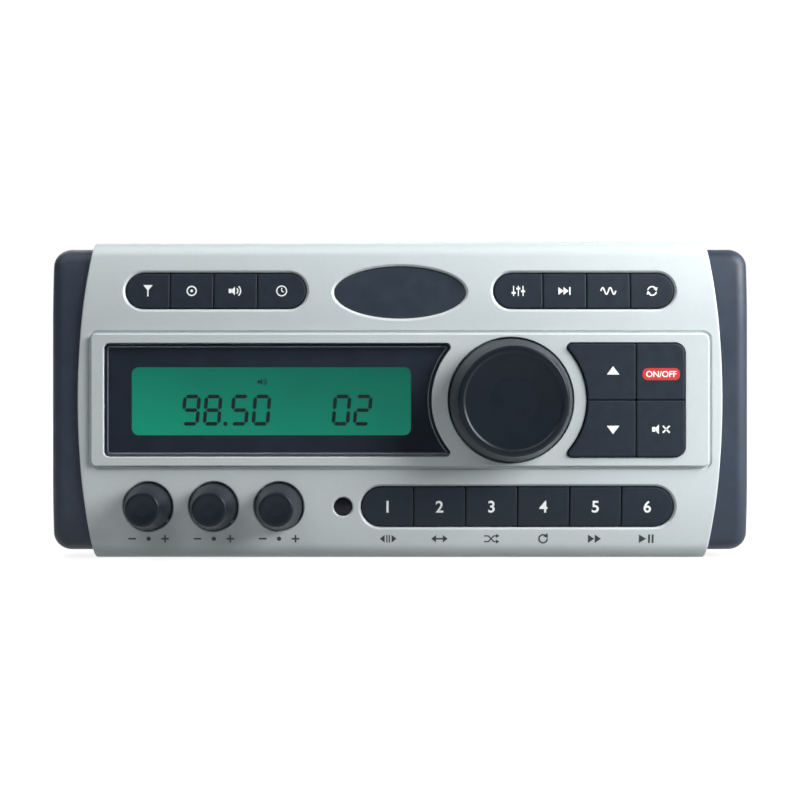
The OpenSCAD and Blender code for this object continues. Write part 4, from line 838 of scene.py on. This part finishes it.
def display_shapes(s):
    """Numerals of the display: four with a point, two more at the right, and a small mark above."""
    shapes = moved(MARKS["point"], LCD_POINT_X, LCD_Z - s.numeral_h / 2, MM)
    for x, digit in LCD_DIGITS:
        shapes += moved(segment_numeral(digit, s.numeral_h), x * MM, LCD_Z)
    return shapes + moved(MARKS["loud"], *LCD_MARK_AT, LCD_MARK_SCALE)


def lettering(text, h):
    """Printed text of height h from the program's own font, as flat triangles about its middle."""
    curve = bpy.data.curves.new("numeral", "FONT")
    curve.body, curve.size, curve.offset, curve.fill_mode = text, 1.0, FONT_BOLD, "FRONT"
    obj = bpy.data.objects.new("numeral", curve)
    bpy.context.scene.collection.objects.link(obj)
    mesh = bpy.data.meshes.new_from_object(obj.evaluated_get(bpy.context.evaluated_depsgraph_get()))
    flat = np.empty(len(mesh.vertices) * 3)
    mesh.vertices.foreach_get("co", flat)
    flat = flat.reshape(-1, 3)[:, :2]
    mesh.calc_loop_triangles()
    faces = np.empty(len(mesh.loop_triangles) * 3, int)
    mesh.loop_triangles.foreach_get("vertices", faces)
    bpy.data.objects.remove(obj)
    bpy.data.curves.remove(curve)
    bpy.data.meshes.remove(mesh)
    lo, hi = flat.min(0), flat.max(0)
    return (flat - (lo + hi) / 2) * h / (hi[1] - lo[1]), faces.reshape(-1, 3)


def laid(flat, faces, surface, lift):
    """Flat triangles laid on a surface, raised by lift and turned to face the front."""
    a, b, c = (flat[faces[:, i]] for i in range(3))
    turned = (b[:, 0] - a[:, 0]) * (c[:, 1] - a[:, 1]) - (b[:, 1] - a[:, 1]) * (c[:, 0] - a[:, 0]) < 0
    return placed(flat, surface, -lift), np.where(turned[:, None], faces[:, ::-1], faces)


def ink_piece(name, parts, material, body, s):
    """A printed mark as a film that reaches back almost to its surface."""
    thicken(piece(name, parts, material, body=body, smooth=False), "film", INK_SHARE * s.print_t)


def print_shapes(name, shapes, surface, material, body, s):
    """Flat shapes printed on a surface as one piece."""
    ink_piece(name, [laid(*filled(*shape), surface, s.print_t) for shape in shapes], material, body, s)


def print_text(name, text, h, at, surface, lift, material, body, s):
    """Text of height h printed about a point of a surface, raised by lift."""
    flat, faces = lettering(text, h)
    ink_piece(name, [laid(flat + at, faces, surface, lift)], material, body, s)


# Pieces

# Steps round each arc of the fascia's softened edges and of an end cap's, and points along its inner edge
SOFT_TURNS, CAP_TURNS, CAP_EDGE_POINTS = 3, 10, 150
# How far past its radius a softened edge reaches, round an opening and on a front, as a share of that radius
RIM_REACH, FRONT_REACH = 1.2, 1.05
# Depth of the openings, gaps round the tone knobs, the lens and the volume knob, how far the walls of the
# last two reach behind them, and the hole for the volume shaft
OPENING_DEEP, TONE_GAP, LENS_GAP, WELL_GAP = 3.2 * MM, 0.3 * MM, 0.12 * MM, 0.5 * MM
LENS_UNDER, WELL_UNDER, SHAFT_HOLE_R = 0.3 * MM, 0.4 * MM, 4.2 * MM
# The bevel of the raised panel: its lands on the skin and on the panel, the share of the groove's width that
# its outer wall takes, and its corner radii
SKIN_LAND, PANEL_LAND, GROOVE_LEAN = 0.6 * MM, 0.2 * MM, 0.25
BEVEL_SOFT = (0.12 * MM, 0.08 * MM, 0.08 * MM, 0.2 * MM)
# The bowed ends of the fascia: the land on the skin, the wall and its softness
END_EDGE, END_WALL, END_SOFT = 1.0 * MM, 3.0 * MM, 0.4 * MM
# Points of the skin: a step along the crown, and counts round each roll, over the top and bottom, and along
# the rear edges
CROWN_STEP, ROLL_COUNT, FLAT_COUNT, REAR_COUNT = 1.2 * MM, 24, 9, 90
# Share of the skin's thickness that is left in the thin land
THIN_SHARE = 0.1
# Gap round the badge, its softness and its depth
BADGE_GAP, BADGE_SOFT, BADGE_DEEP = 0.15 * MM, 0.4 * MM, 2 * MM
# Gap round the eye, its depth, the rise of its dome, its softness and its steps round
EYE_GAP, EYE_DEEP, EYE_DOME, EYE_SOFT, EYE_AROUND = 0.1 * MM, 2.5 * MM, 0.15 * MM, 0.3 * MM, 64
# Softness of the lens, and how far its softened edge is drawn
LENS_SOFT, LENS_EDGE = 0.4 * MM, 1.2 * MM
# Height of the straight foot of a knob
KNOB_FOOT = 3.9 * MM


def opening(path, wall, deep, s, rim, surface):
    """A moulded opening: from the skin round a chamfer of the given rim, then down its wall."""
    corners = [(wall + rim + RIM_REACH * s.soft, 0), (wall + rim, 0), (wall, rim), (wall, deep)]
    if rim == 0:
        corners.pop(1)
    line = rounded_line(corners, [s.soft] * (len(corners) - 2), SOFT_TURNS)
    return sweep(path, line, surface), path + normals(path) * line[0, 0]


def key_shape(path, surface, soft, deep):
    """A key: its wall, a rounded edge, a front that follows the surface, and a back."""
    wall = sweep(path, rounded_line([(0, deep), (0, 0), (-FRONT_REACH * soft, 0)], [soft]), surface)
    edge = path - normals(path) * FRONT_REACH * soft
    flat, faces = filled(edge, (), lattice_over(edge))
    return [wall, (placed(flat, surface), faces), (wall[0][:len(path)], [list(range(len(path)))[::-1]])]


def skin_openings(s):
    """Openings in the curved bands, each an outline, the gap round it and the chamfer of its rim."""
    a, b = half_size("badge_plate")
    badge = oval(*middle("badge_plate"), a - s.badge_flange, b - s.badge_flange, SLOT_STEP)
    slots = [(slot_outline(row, s), s.key_clear, s.rim) for row in KEY_ROWS]
    wells = [(circle_in(name + "_knob", 0, TONE_STEP), TONE_GAP, s.well_rim) for name in TONE_KNOBS]
    eye = circle_in("remote_eye", s.eye_flange, EYE_STEP)
    return [*slots, *wells, (badge, 0, s.rim), (eye, 0, s.well_rim)]


def fascia_parts(s):
    """The fascia's front as one skin: unrolled by distance along the side view, filled between its openings,
    and rolled up again; the raised panel stands on it behind a groove and a bevel."""
    head = Head(s)
    on_panel, rise = flat_at(head.panel_y), head.front_y - head.panel_y
    parts, skin_holes, panel_holes = [], [], []
    for path, wall, rim in skin_openings(s):
        swept, hole = opening(path, wall, OPENING_DEEP, s, rim, head.below())
        parts.append(swept)
        skin_holes.append(hole)
    # Raised panel
    x, z = s.panel_w / 2, s.panel_h / 2
    base = rectangle(-x, x, -z, z, (s.panel_r,) * 4, PANEL_STEP)
    bevel = rounded_line(
        [(SKIN_LAND, 0), (0, 0), (-GROOVE_LEAN * s.groove_w, s.groove_d), (-s.groove_w, s.groove_d),
         (-rise, -rise), (-rise - PANEL_LAND, -rise)], BEVEL_SOFT, SOFT_TURNS)
    parts.append(sweep(base, bevel, flat_at(head.front_y)))
    skin_holes.append(base + normals(base) * bevel[0, 0])
    lens_y, floor_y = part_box("display_lens")[1].y + LENS_UNDER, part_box("volume_knob")[1].y + WELL_UNDER
    for path, wall, down in [(lens_outline(s), LENS_GAP, lens_y - head.panel_y),
                             (pad_outline(s), s.key_clear, OPENING_DEEP),
                             (circle_in("volume_knob"), WELL_GAP, floor_y - head.panel_y)]:
        swept, hole = opening(path, wall, down, s, 0, on_panel)
        parts.append(swept)
        panel_holes.append(hole)
    flat, faces = filled(base + normals(base) * bevel[-1, 0], panel_holes)
    parts.append((placed(flat, on_panel), faces))
    # Floor of the volume well
    floor = np.array([[half_size("volume_knob")[0] + WELL_GAP, floor_y], [SHAFT_HOLE_R, floor_y]])
    parts.append(revolved(floor, middle("volume_knob")))
    return [*parts, *end_walls(head), skin_between(head, skin_holes)]


def end_walls(head):
    """The soft edges and walls of the bowed ends, carried along the side view square to the skin."""
    line = rounded_line([(END_EDGE, 0), (0, 0), (0, END_WALL)], [END_SOFT])
    t = end_steps(head)
    walls = []
    for side in (1, -1):
        run = t[::-1] if side > 0 else t
        z = np.interp(run, head.line_t, head.line_z)
        x = side * (head.end_x(z)[None] - line[:, 0, None])
        grid = head.at(x, np.broadcast_to(run, x.shape)) + head.inward(run)[None] * line[:, 1, None, None]
        walls.append((grid.reshape(-1, 3), grid_faces(len(line), len(run), around=False)))
    return walls


def end_steps(head):
    """Distances along the side view, close together where it rolls over."""
    roll0, roll1 = head.along(head.turn_z), head.along(head.half_h - SAME_FLAT)
    last = head.line_t[-1]
    upper = np.concatenate([np.arange(last / 2, roll0, CROWN_STEP), np.linspace(roll0, roll1, ROLL_COUNT),
                            np.linspace(roll1, last, FLAT_COUNT)[1:]])
    return np.concatenate([last - upper[::-1], upper[1:]])


def skin_between(head, holes):
    """The skin between the bowed ends and round the holes, filled in the unrolled plane (x, distance)."""
    unrolled = [np.stack([h[:, 0], head.along(h[:, 1])], -1) for h in holes]
    t = end_steps(head)
    edge = head.end_x(np.interp(t, head.line_t, head.line_z)) - END_EDGE
    rear = np.linspace(-edge[0], edge[0], REAR_COUNT)[1:-1]
    outer = np.vstack([np.stack([edge, t], -1), np.stack([rear[::-1], np.full(len(rear), t[-1])], -1),
                       np.stack([-edge[::-1], t[::-1]], -1), np.stack([rear, np.full(len(rear), t[0])], -1)])
    x, rows = np.meshgrid(np.arange(-edge.max(), edge.max(), SKIN_STEP), t[1:-1])
    flat, faces = filled(outer, unrolled, np.stack([x.ravel(), rows.ravel()], -1))
    return head.at(flat[:, 0], flat[:, 1]), faces


class RECEIVER_OT_fascia(bpy.types.Operator):
    """Makes the silver fascia with its soft-edged openings and raised panel"""

    bl_idname = "receiver.fascia"
    bl_label = "Fascia"

    def execute(self, context):
        s, c = context.scene.receiver_sizes, context.scene.receiver_colours
        obj = piece("fascia_skin", fascia_parts(s), silver_lacquer(c),
                    replaces=["fascia"])
        shell = thicken(obj, "thickness", s.skin_t)
        # The land between the volume well and the groove leaves no room for a full wall
        place = np.empty(len(obj.data.vertices) * 3)
        obj.data.vertices.foreach_get("co", place)
        from_knob = np.linalg.norm(place.reshape(-1, 3)[:, ::2] - middle("volume_knob"), axis=1)
        full = np.flatnonzero(from_knob > half_size("volume_knob")[0] + s.thin_land)
        obj.vertex_groups.new(name="full_wall").add(full.tolist(), 1.0, "REPLACE")
        shell.vertex_group, shell.thickness_vertex_group = "full_wall", THIN_SHARE
        return {"FINISHED"}


class RECEIVER_OT_inserts(bpy.types.Operator):
    """Makes the badge plate and the remote eye in their openings"""

    bl_idname = "receiver.inserts"
    bl_label = "Badge and eye"

    def execute(self, context):
        s, c = context.scene.receiver_sizes, context.scene.receiver_colours
        a, b = (half - s.badge_flange - BADGE_GAP for half in half_size("badge_plate"))
        plate = key_shape(oval(*middle("badge_plate"), a, b), Head(s).below(s.badge_sink),
                          BADGE_SOFT, BADGE_DEEP)
        piece("badge_face", plate, badge_plastic(c), replaces=["badge_plate"])
        r, y = half_size("remote_eye")[0] - s.eye_flange - EYE_GAP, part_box("remote_eye")[0].y
        dome = rounded_line([(r, y + EYE_DEEP), (r, y + EYE_DOME), (0, y)], [EYE_SOFT])
        tinted = plain_plastic("infrared_window_acrylic", "14121a", 0.2, shine=0.2)
        piece("eye_window", [revolved(dome, middle("remote_eye"), EYE_AROUND)], tinted,
              replaces=["remote_eye"])
        return {"FINISHED"}


def end_cap_parts(head, side, s):
    """An end cap: a rectangle with round outer corners whose inner edge follows the bowed end of the fascia.

    Its wall rolls over by a quarter circle into a front that lies a fixed distance below the fascia's."""
    lo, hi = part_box("right_end_cap")
    on_cap = head.below(lo.y - head.front_y)
    corners = (s.key_corner, s.cap_corner_r, s.cap_corner_r, s.key_corner)
    loop = rectangle(0, hi.x, lo.z, hi.z, corners, SLOT_STEP)
    shown = loop[:, 0] > head.end_x(loop[:, 1]) - s.cap_tuck
    path, out = loop[shown], normals(loop)[shown]
    soft = s.cap_soft
    line = rounded_line([(0, 2 * soft), (0, 0), (-FRONT_REACH * soft, 0)], [soft], CAP_TURNS)
    flat = path[None] + out[None] * line[:, 0, None, None]
    wall = placed(flat, on_cap, line[:, 1, None])
    wall[0, :, 1] = hi.y
    z = np.linspace(flat[-1, -1, 1], flat[-1, 0, 1], CAP_EDGE_POINTS)[1:-1]
    edge = np.vstack([flat[-1], np.stack([head.end_x(z) - s.cap_tuck, z], -1)])
    points, faces = filled(edge, (), lattice_over(edge))
    quads, mirror = grid_faces(len(line), len(path), around=False), [side, 1, 1]
    return [(wall.reshape(-1, 3) * mirror, quads[:, ::side]),
            (placed(points, on_cap) * mirror, faces[:, ::side])]


class RECEIVER_OT_end_caps(bpy.types.Operator):
    """Makes the dark covers over the ends of the head"""

    bl_idname = "receiver.end_caps"
    bl_label = "End caps"

    def execute(self, context):
        s = context.scene.receiver_sizes
        head, plastic = Head(s), end_cap_plastic(context.scene.receiver_colours)
        for name, side in (("left_end", -1), ("right_end", 1)):
            obj = piece(name + "_cover", end_cap_parts(head, side, s), plastic,
                        replaces=[name + "_cap"])
            thicken(obj, "thickness", s.cap_wall)
        return {"FINISHED"}


def key_piece(name, path, front, rubber, s):
    """A key with the given outline and front, which moves with its own body."""
    piece(name + "_cap", key_shape(path, front, s.key_soft, s.key_deep), rubber, body=name,
          replaces=[name])


def pad_key_outline(name, s):
    """A quarter of the pad: its outer outline on two sides and straight splits on the others."""
    lo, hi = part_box(name)
    k, upper = s.key_corner, lo.z + hi.z > 0
    cx, _ = middle("volume_knob")
    split = min(abs(lo.z), abs(hi.z)) - s.key_close
    top = max(abs(lo.z), abs(hi.z)) - s.key_lip
    if name in ("power_key", "mute_key"):
        path = rectangle(lo.x - s.key_close, hi.x - s.key_lip, split, top, (k, k, s.pad_corner_r, k))
    else:
        reach, turn = tip_place(top, s.pad_arc_r, s.tip_r)
        low = math.degrees(math.asin(split / s.pad_arc_r))
        near = hi.x + s.key_close
        path = outline([(near - k, split + k, k, 270, 360), (near - k, top - k, k, 0, 90),
                        (cx + reach, top - s.tip_r, s.tip_r, 90, 180 + turn),
                        (cx, 0, s.pad_arc_r, turn, low)])
    return path if upper else path[::-1] * [1, -1]


class RECEIVER_OT_keys(bpy.types.Operator):
    """Makes the keys of the three rows and of the pad"""

    bl_idname = "receiver.keys"
    bl_label = "Keys"

    def execute(self, context):
        s = context.scene.receiver_sizes
        front, rubber = Head(s).below(s.key_sink), key_rubber(context.scene.receiver_colours)
        for name in (*FUNCTION_KEYS, *PRESET_KEYS):
            x0, x1, z0, z1 = key_box(name, s)
            left, right = ((z1 - z0) / 2 if end else s.key_corner for end in key_ends(name))
            key_piece(name, rectangle(x0, x1, z0, z1, (left, right, right, left)), front, rubber, s)
        for name in PAD_KEYS:
            key_piece(name, pad_key_outline(name, s), flat_at(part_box(name)[0].y), rubber, s)
        return {"FINISHED"}


def knob_piece(node, body, plastic, front_r, ledge, dish, radii, turns, around):
    """A knob turned about its axis: a ledge at the rear, a straight foot, a cone to the front edge, then the
    dish of (radius, depth behind the front). The radii of its corners are in millimetres."""
    lo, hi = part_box(node)
    r, _ = half_size(node)
    line = [(r - ledge, hi.y), (r, hi.y), (r, hi.y - KNOB_FOOT), (front_r, lo.y)]
    line += [(x, lo.y + y) for x, y in dish]
    side = rounded_line(line, np.array(radii) * MM, turns)
    piece(node + "_cap", [revolved(side, middle(node), around)], plastic, body=body,
          replaces=[node])


class RECEIVER_OT_knobs(bpy.types.Operator):
    """Makes the volume knob and the three tone knobs"""

    bl_idname = "receiver.knobs"
    bl_label = "Knobs"

    def execute(self, context):
        s, plastic = context.scene.receiver_sizes, knob_plastic(context.scene.receiver_colours)
        # A rim, a step down, and a shallow dish that deepens to 1 mm
        r = s.volume_front_r
        dish = [(r - 1.5 * MM, 0), (r - 2.1 * MM, 0.45 * MM), (0.45 * r, 0.95 * MM), (0, 1.0 * MM)]
        knob_piece("volume_knob", "volume", plastic, r, 2 * MM, dish, (0.3, 0.8, 0.7, 0.35, 0.5, 4), 8, 192)
        # A rim and a shallow dish
        r = s.tone_front_r
        dish = [(r - 0.9 * MM, 0), (0.4 * r, 0.3 * MM), (0, 0.32 * MM)]
        for name in TONE_KNOBS:
            knob_piece(name + "_knob", name, plastic, r, 1.6 * MM, dish, (0.3, 0.7, 0.6, 0.25, 1), 7, 128)
        return {"FINISHED"}


class RECEIVER_OT_display(bpy.types.Operator):
    """Makes the clear lens, the display's marks and a painted highlight inside the lens's edge, and gives the
    mask and the display their finish
    """

    bl_idname = "receiver.display"
    bl_label = "Display"

    def execute(self, context):
        s = context.scene.receiver_sizes
        lo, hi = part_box("display_lens")
        front, path = flat_at(lo.y), lens_outline(s)
        line = rounded_line([(0, hi.y - lo.y), (0, 0), (-LENS_EDGE, 0)], [LENS_SOFT])
        wall, order = sweep(path, line, front), list(range(len(path)))
        face = placed(path + normals(path) * line[-1, 0], front)
        parts = [wall, (face, [order]), (wall[0][:len(path)], [order[::-1]])]
        piece("display_window", parts, clear_acrylic(), replaces=["display_lens"])
        dress("display_mask", display_film())
        dress("lcd_panel", display_field(context.scene.receiver_colours))
        # A painted highlight: a light grey line on the mask just inside the lens's edge, in place of the shine
        # of the lens's polished edge
        edge = path - normals(path) * s.line_in
        silver = ink("painted_edge_highlight", linear("727d83"))
        dark = ink("dark_liquid_crystal", linear("03110d"), 0.1)
        print_shapes("painted_lens_highlight", [(edge, [edge - normals(edge) * s.line_w])],
                     flat_at(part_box("display_mask")[0].y), silver, BODY, s)
        print_shapes("display_numerals", display_shapes(s), flat_at(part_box("lcd_panel")[0].y), dark, BODY, s)
        return {"FINISHED"}


class RECEIVER_OT_marks(bpy.types.Operator):
    """Prints the marks on the keys and the fascia"""

    bl_idname = "receiver.marks"
    bl_label = "Marks"

    def execute(self, context):
        s, c = context.scene.receiver_sizes, context.scene.receiver_colours
        head = Head(s)
        white, on_row = ink("white_pad_print", c.white), head.below(s.key_sink)
        for name, mark in zip(FUNCTION_KEYS, FUNCTION_MARKS):
            shapes = moved(MARKS[mark], *key_middle(name, s), s.mark_scale)
            print_shapes(name + "_mark", shapes, on_row, white, name, s)
        for digit, name in enumerate(PRESET_KEYS, 1):
            at = key_middle(name, s)
            print_text(name + "_mark", str(digit), s.digit_h, at, on_row, s.print_t, white, name, s)
        labels = [(middle(name + "_knob")[0], "range") for name in TONE_KNOBS]
        labels += [(key_middle(name, s)[0], mark) for name, mark in zip(PRESET_KEYS, LABEL_MARKS)]
        shapes = [shape for x, mark in labels for shape in moved(MARKS[mark], x, s.label_z, s.label_scale)]
        print_shapes("label_marks", shapes, head.below(), ink("black_pad_print", c.black), BODY, s)
        self.pad_marks(s, ink("red_pad_print", c.red), white)
        return {"FINISHED"}

    def pad_marks(self, s, red, white):
        """Arrows, a coloured field with its words, and a crossed-out speaker, near the middle of the pad."""
        front = {name: flat_at(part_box(name)[0].y) for name in PAD_KEYS}
        for name, z, turn in (("up_key", ARROW_Z, 0), ("down_key", -ARROW_Z, 180)):
            arrow = [triangle(ARROW_X, z, ARROW_W, ARROW_H, turn)]
            print_shapes(name + "_mark", arrow, front[name], white, name, s)
        x, z = POWER_AT
        w, r = s.pill_w / 2, s.pill_h / 2
        field = rectangle(x - w, x + w, z - r, z + r, (PILL_ROUND * r,) * 4)
        print_shapes("power_key_field", [(field, [])], front["power_key"], red, "power_key", s)
        print_text("power_key_mark", "ON/OFF", POWER_TEXT * s.pill_h, POWER_AT, front["power_key"],
                   2 * s.print_t, white, "power_key", s)
        print_shapes("mute_key_mark", moved(MARKS["mute"], *MUTE_AT, s.label_scale), front["mute_key"], white,
                     "mute_key", s)


def dress(node, material):
    """Gives a CAD node a finish in place of its plain one."""
    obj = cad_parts[node]
    obj.data.materials.clear()
    obj.data.materials.append(material)


class RECEIVER_OT_finishes(bpy.types.Operator):
    """Gives the pieces that keep their construction shape their finishes"""

    bl_idname = "receiver.finishes"
    bl_label = "Finishes"

    def execute(self, context):
        finishes = [(make(), nodes) for make, nodes in MADE_OF]
        finishes += [(plain_plastic(*plastic), nodes) for *plastic, nodes in PLASTICS]
        for material, nodes in finishes:
            for node in nodes:
                dress(node, material)
        return {"FINISHED"}


# Stage

# Soft lights aimed at the origin: name, place and size in metres, power in watts
LAMPS = (("key_light", (0.385, -0.2, 0.21), 0.3, 4.5), ("top_light", (-0.3, -0.26, 0.57), 0.65, 2.8),
         ("back_light", (-0.4, 0.9, 0.7), 0.8, 5))
# The paper, in metres: its front and back edges, its height, the radius of its bend and half its width, and the
# steps round that bend
PAPER_FRONT, PAPER_BACK, PAPER_TOP, PAPER_BEND, PAPER_HALF_W, BEND_TURNS = -0.345, 1.8, 2.5, 0.6, 2.5, 24
# Where the paper starts and ends to grow white by itself, in metres, and its level before that
PAPER_NEAR, PAPER_FAR, PAPER_LEVEL = 0.2, 0.9, 0.87
# Level of the room where it is seen or mirrored, and as light
ROOM_SEEN, ROOM_LIT = 0.3, 0.08
# The camera's sensor in millimetres, and how near and how far it sees in metres
SENSOR_MM, CLIP_NEAR, CLIP_FAR = 36, 0.01, 50


class RECEIVER_OT_stage(bpy.types.Operator):
    """Makes the floor, the soft lights, the white surround and the camera"""

    bl_idname = "receiver.stage"
    bl_label = "Stage"

    def execute(self, context):
        settings, scene = context.scene.receiver_stage, context.scene
        edges = [(PAPER_FRONT, 0), (PAPER_BACK, 0), (PAPER_BACK, PAPER_TOP)]
        line = rounded_line(edges, [PAPER_BEND], BEND_TURNS)
        x = np.array([-PAPER_HALF_W, PAPER_HALF_W])
        grid = np.stack(np.broadcast_arrays(x, line[:, :1], CAD_BOX[0].z + line[:, 1:]), -1)
        mesh = bpy.data.meshes.new("studio_sweep")
        mesh.from_pydata(grid.reshape(-1, 3).tolist(), [], grid_faces(len(line), 2, around=False).tolist())
        mesh.polygons.foreach_set("use_smooth", np.ones(len(mesh.polygons), bool))
        mesh.materials.append(white_paper())
        paper = bpy.data.objects.new("studio_sweep", mesh)
        scene.collection.objects.link(paper)
        for name, place, size, power in LAMPS:
            lamp = bpy.data.lights.new(name, "AREA")
            lamp.size, lamp.energy = size, power
            light = bpy.data.objects.new(name, lamp)
            light.location = place
            light.rotation_mode = "QUATERNION"
            light.rotation_quaternion = (-light.location).to_track_quat("-Z", "Y")
            scene.collection.objects.link(light)
        scene.world = studio_air()
        camera = bpy.data.cameras.new("camera")
        camera.sensor_width = SENSOR_MM
        camera.lens = camera.sensor_width * settings.distance / settings.view_w
        camera.shift_y = -settings.height / settings.view_w
        camera.clip_start, camera.clip_end = CLIP_NEAR, CLIP_FAR
        eye = bpy.data.objects.new("camera", camera)
        eye.location = (0, -scene.receiver_sizes.head_d - settings.distance, settings.height)
        eye.rotation_euler = (math.pi / 2, 0, 0)
        scene.collection.objects.link(eye)
        scene.camera = eye
        scene.view_settings.view_transform = "Standard"
        return {"FINISHED"}


def seen_level(tree, seen, else_lit):
    """One level for rays from the camera, from mirrors and through glass, and another for all other rays."""
    rays = add(tree, "ShaderNodeLightPath").outputs
    mirrored = add(tree, "ShaderNodeMath", {
        0: rays["Is Glossy Ray"], 1: rays["Is Transmission Ray"]}, operation="MAXIMUM").outputs[0]
    direct = add(tree, "ShaderNodeMath", {
        0: rays["Is Camera Ray"], 1: mirrored}, operation="MAXIMUM").outputs[0]
    level = add(tree, "ShaderNodeMapRange", {"Value": direct, "To Min": else_lit, "To Max": seen})
    return level.outputs["Result"]


def white_paper():
    """Matt white background paper: white to the camera, to mirrors and to glass, and it keeps shadows."""
    material, tree, main, place = start("matt_white_paper", Roughness=0.9, Emission_Color=(1, 1, 1, 1))
    varied(tree, main, place, linear("787a7a"), 60, 0.01)
    # Near the object it leaves room for the lamps and their shadows, and is white by itself farther back
    axes = add(tree, "ShaderNodeSeparateXYZ", {"Vector": place})
    level = add(tree, "ShaderNodeMapRange", {
        "Value": axes.outputs["Y"], "From Min": PAPER_NEAR, "From Max": PAPER_FAR, "To Min": PAPER_LEVEL})
    tree.links.new(seen_level(tree, level.outputs["Result"], 0), main.inputs["Emission Strength"])
    return material


def studio_air():
    """The room in front of the paper: dim and bluish where it mirrors, dimmer still as light."""
    world = bpy.data.worlds.new("studio_air")
    world.use_nodes = True
    tree = world.node_tree
    room = tree.nodes["Background"].inputs
    room["Color"].default_value = linear("aab6c6")
    tree.links.new(seen_level(tree, ROOM_SEEN, ROOM_LIT), room["Strength"])
    return world


class RECEIVER_PT_panel(bpy.types.Panel):
    """Lists the pieces of the receiver"""

    bl_label = "Receiver"
    bl_idname = "RECEIVER_PT_panel"
    bl_space_type = "VIEW_3D"
    bl_region_type = "UI"
    bl_category = "Receiver"

    def draw(self, context):
        for operator in OPERATORS:
            self.layout.operator(operator.bl_idname)
        for group in GROUPS:
            values = getattr(context.scene, group)
            for name in values.__annotations__:
                self.layout.prop(values, name)


OPERATORS = (RECEIVER_OT_fascia, RECEIVER_OT_inserts, RECEIVER_OT_end_caps, RECEIVER_OT_keys,
             RECEIVER_OT_knobs, RECEIVER_OT_display, RECEIVER_OT_marks, RECEIVER_OT_finishes,
             RECEIVER_OT_stage)
GROUPS = {"receiver_sizes": ReceiverSizes, "receiver_colours": ReceiverColours,
          "receiver_stage": ReceiverStage}


def register():
    """Registers the groups, the operators and the panel."""
    for cls in (*GROUPS.values(), *OPERATORS, RECEIVER_PT_panel):
        bpy.utils.register_class(cls)
    for name, group in GROUPS.items():
        setattr(bpy.types.Scene, name, bpy.props.PointerProperty(type=group))


def unregister():
    """Takes them out again."""
    for name in GROUPS:
        delattr(bpy.types.Scene, name)
    for cls in (RECEIVER_PT_panel, *reversed(OPERATORS), *GROUPS.values()):
        bpy.utils.unregister_class(cls)


def main():
    """Registers the add-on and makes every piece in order."""
    register()
    for operator in OPERATORS:
        group, name = operator.bl_idname.split(".")
        if getattr(getattr(bpy.ops, group), name)() != {"FINISHED"}:
            raise RuntimeError(operator.bl_label + " was not made")
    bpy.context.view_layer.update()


if __name__ == "__main__":
    main()
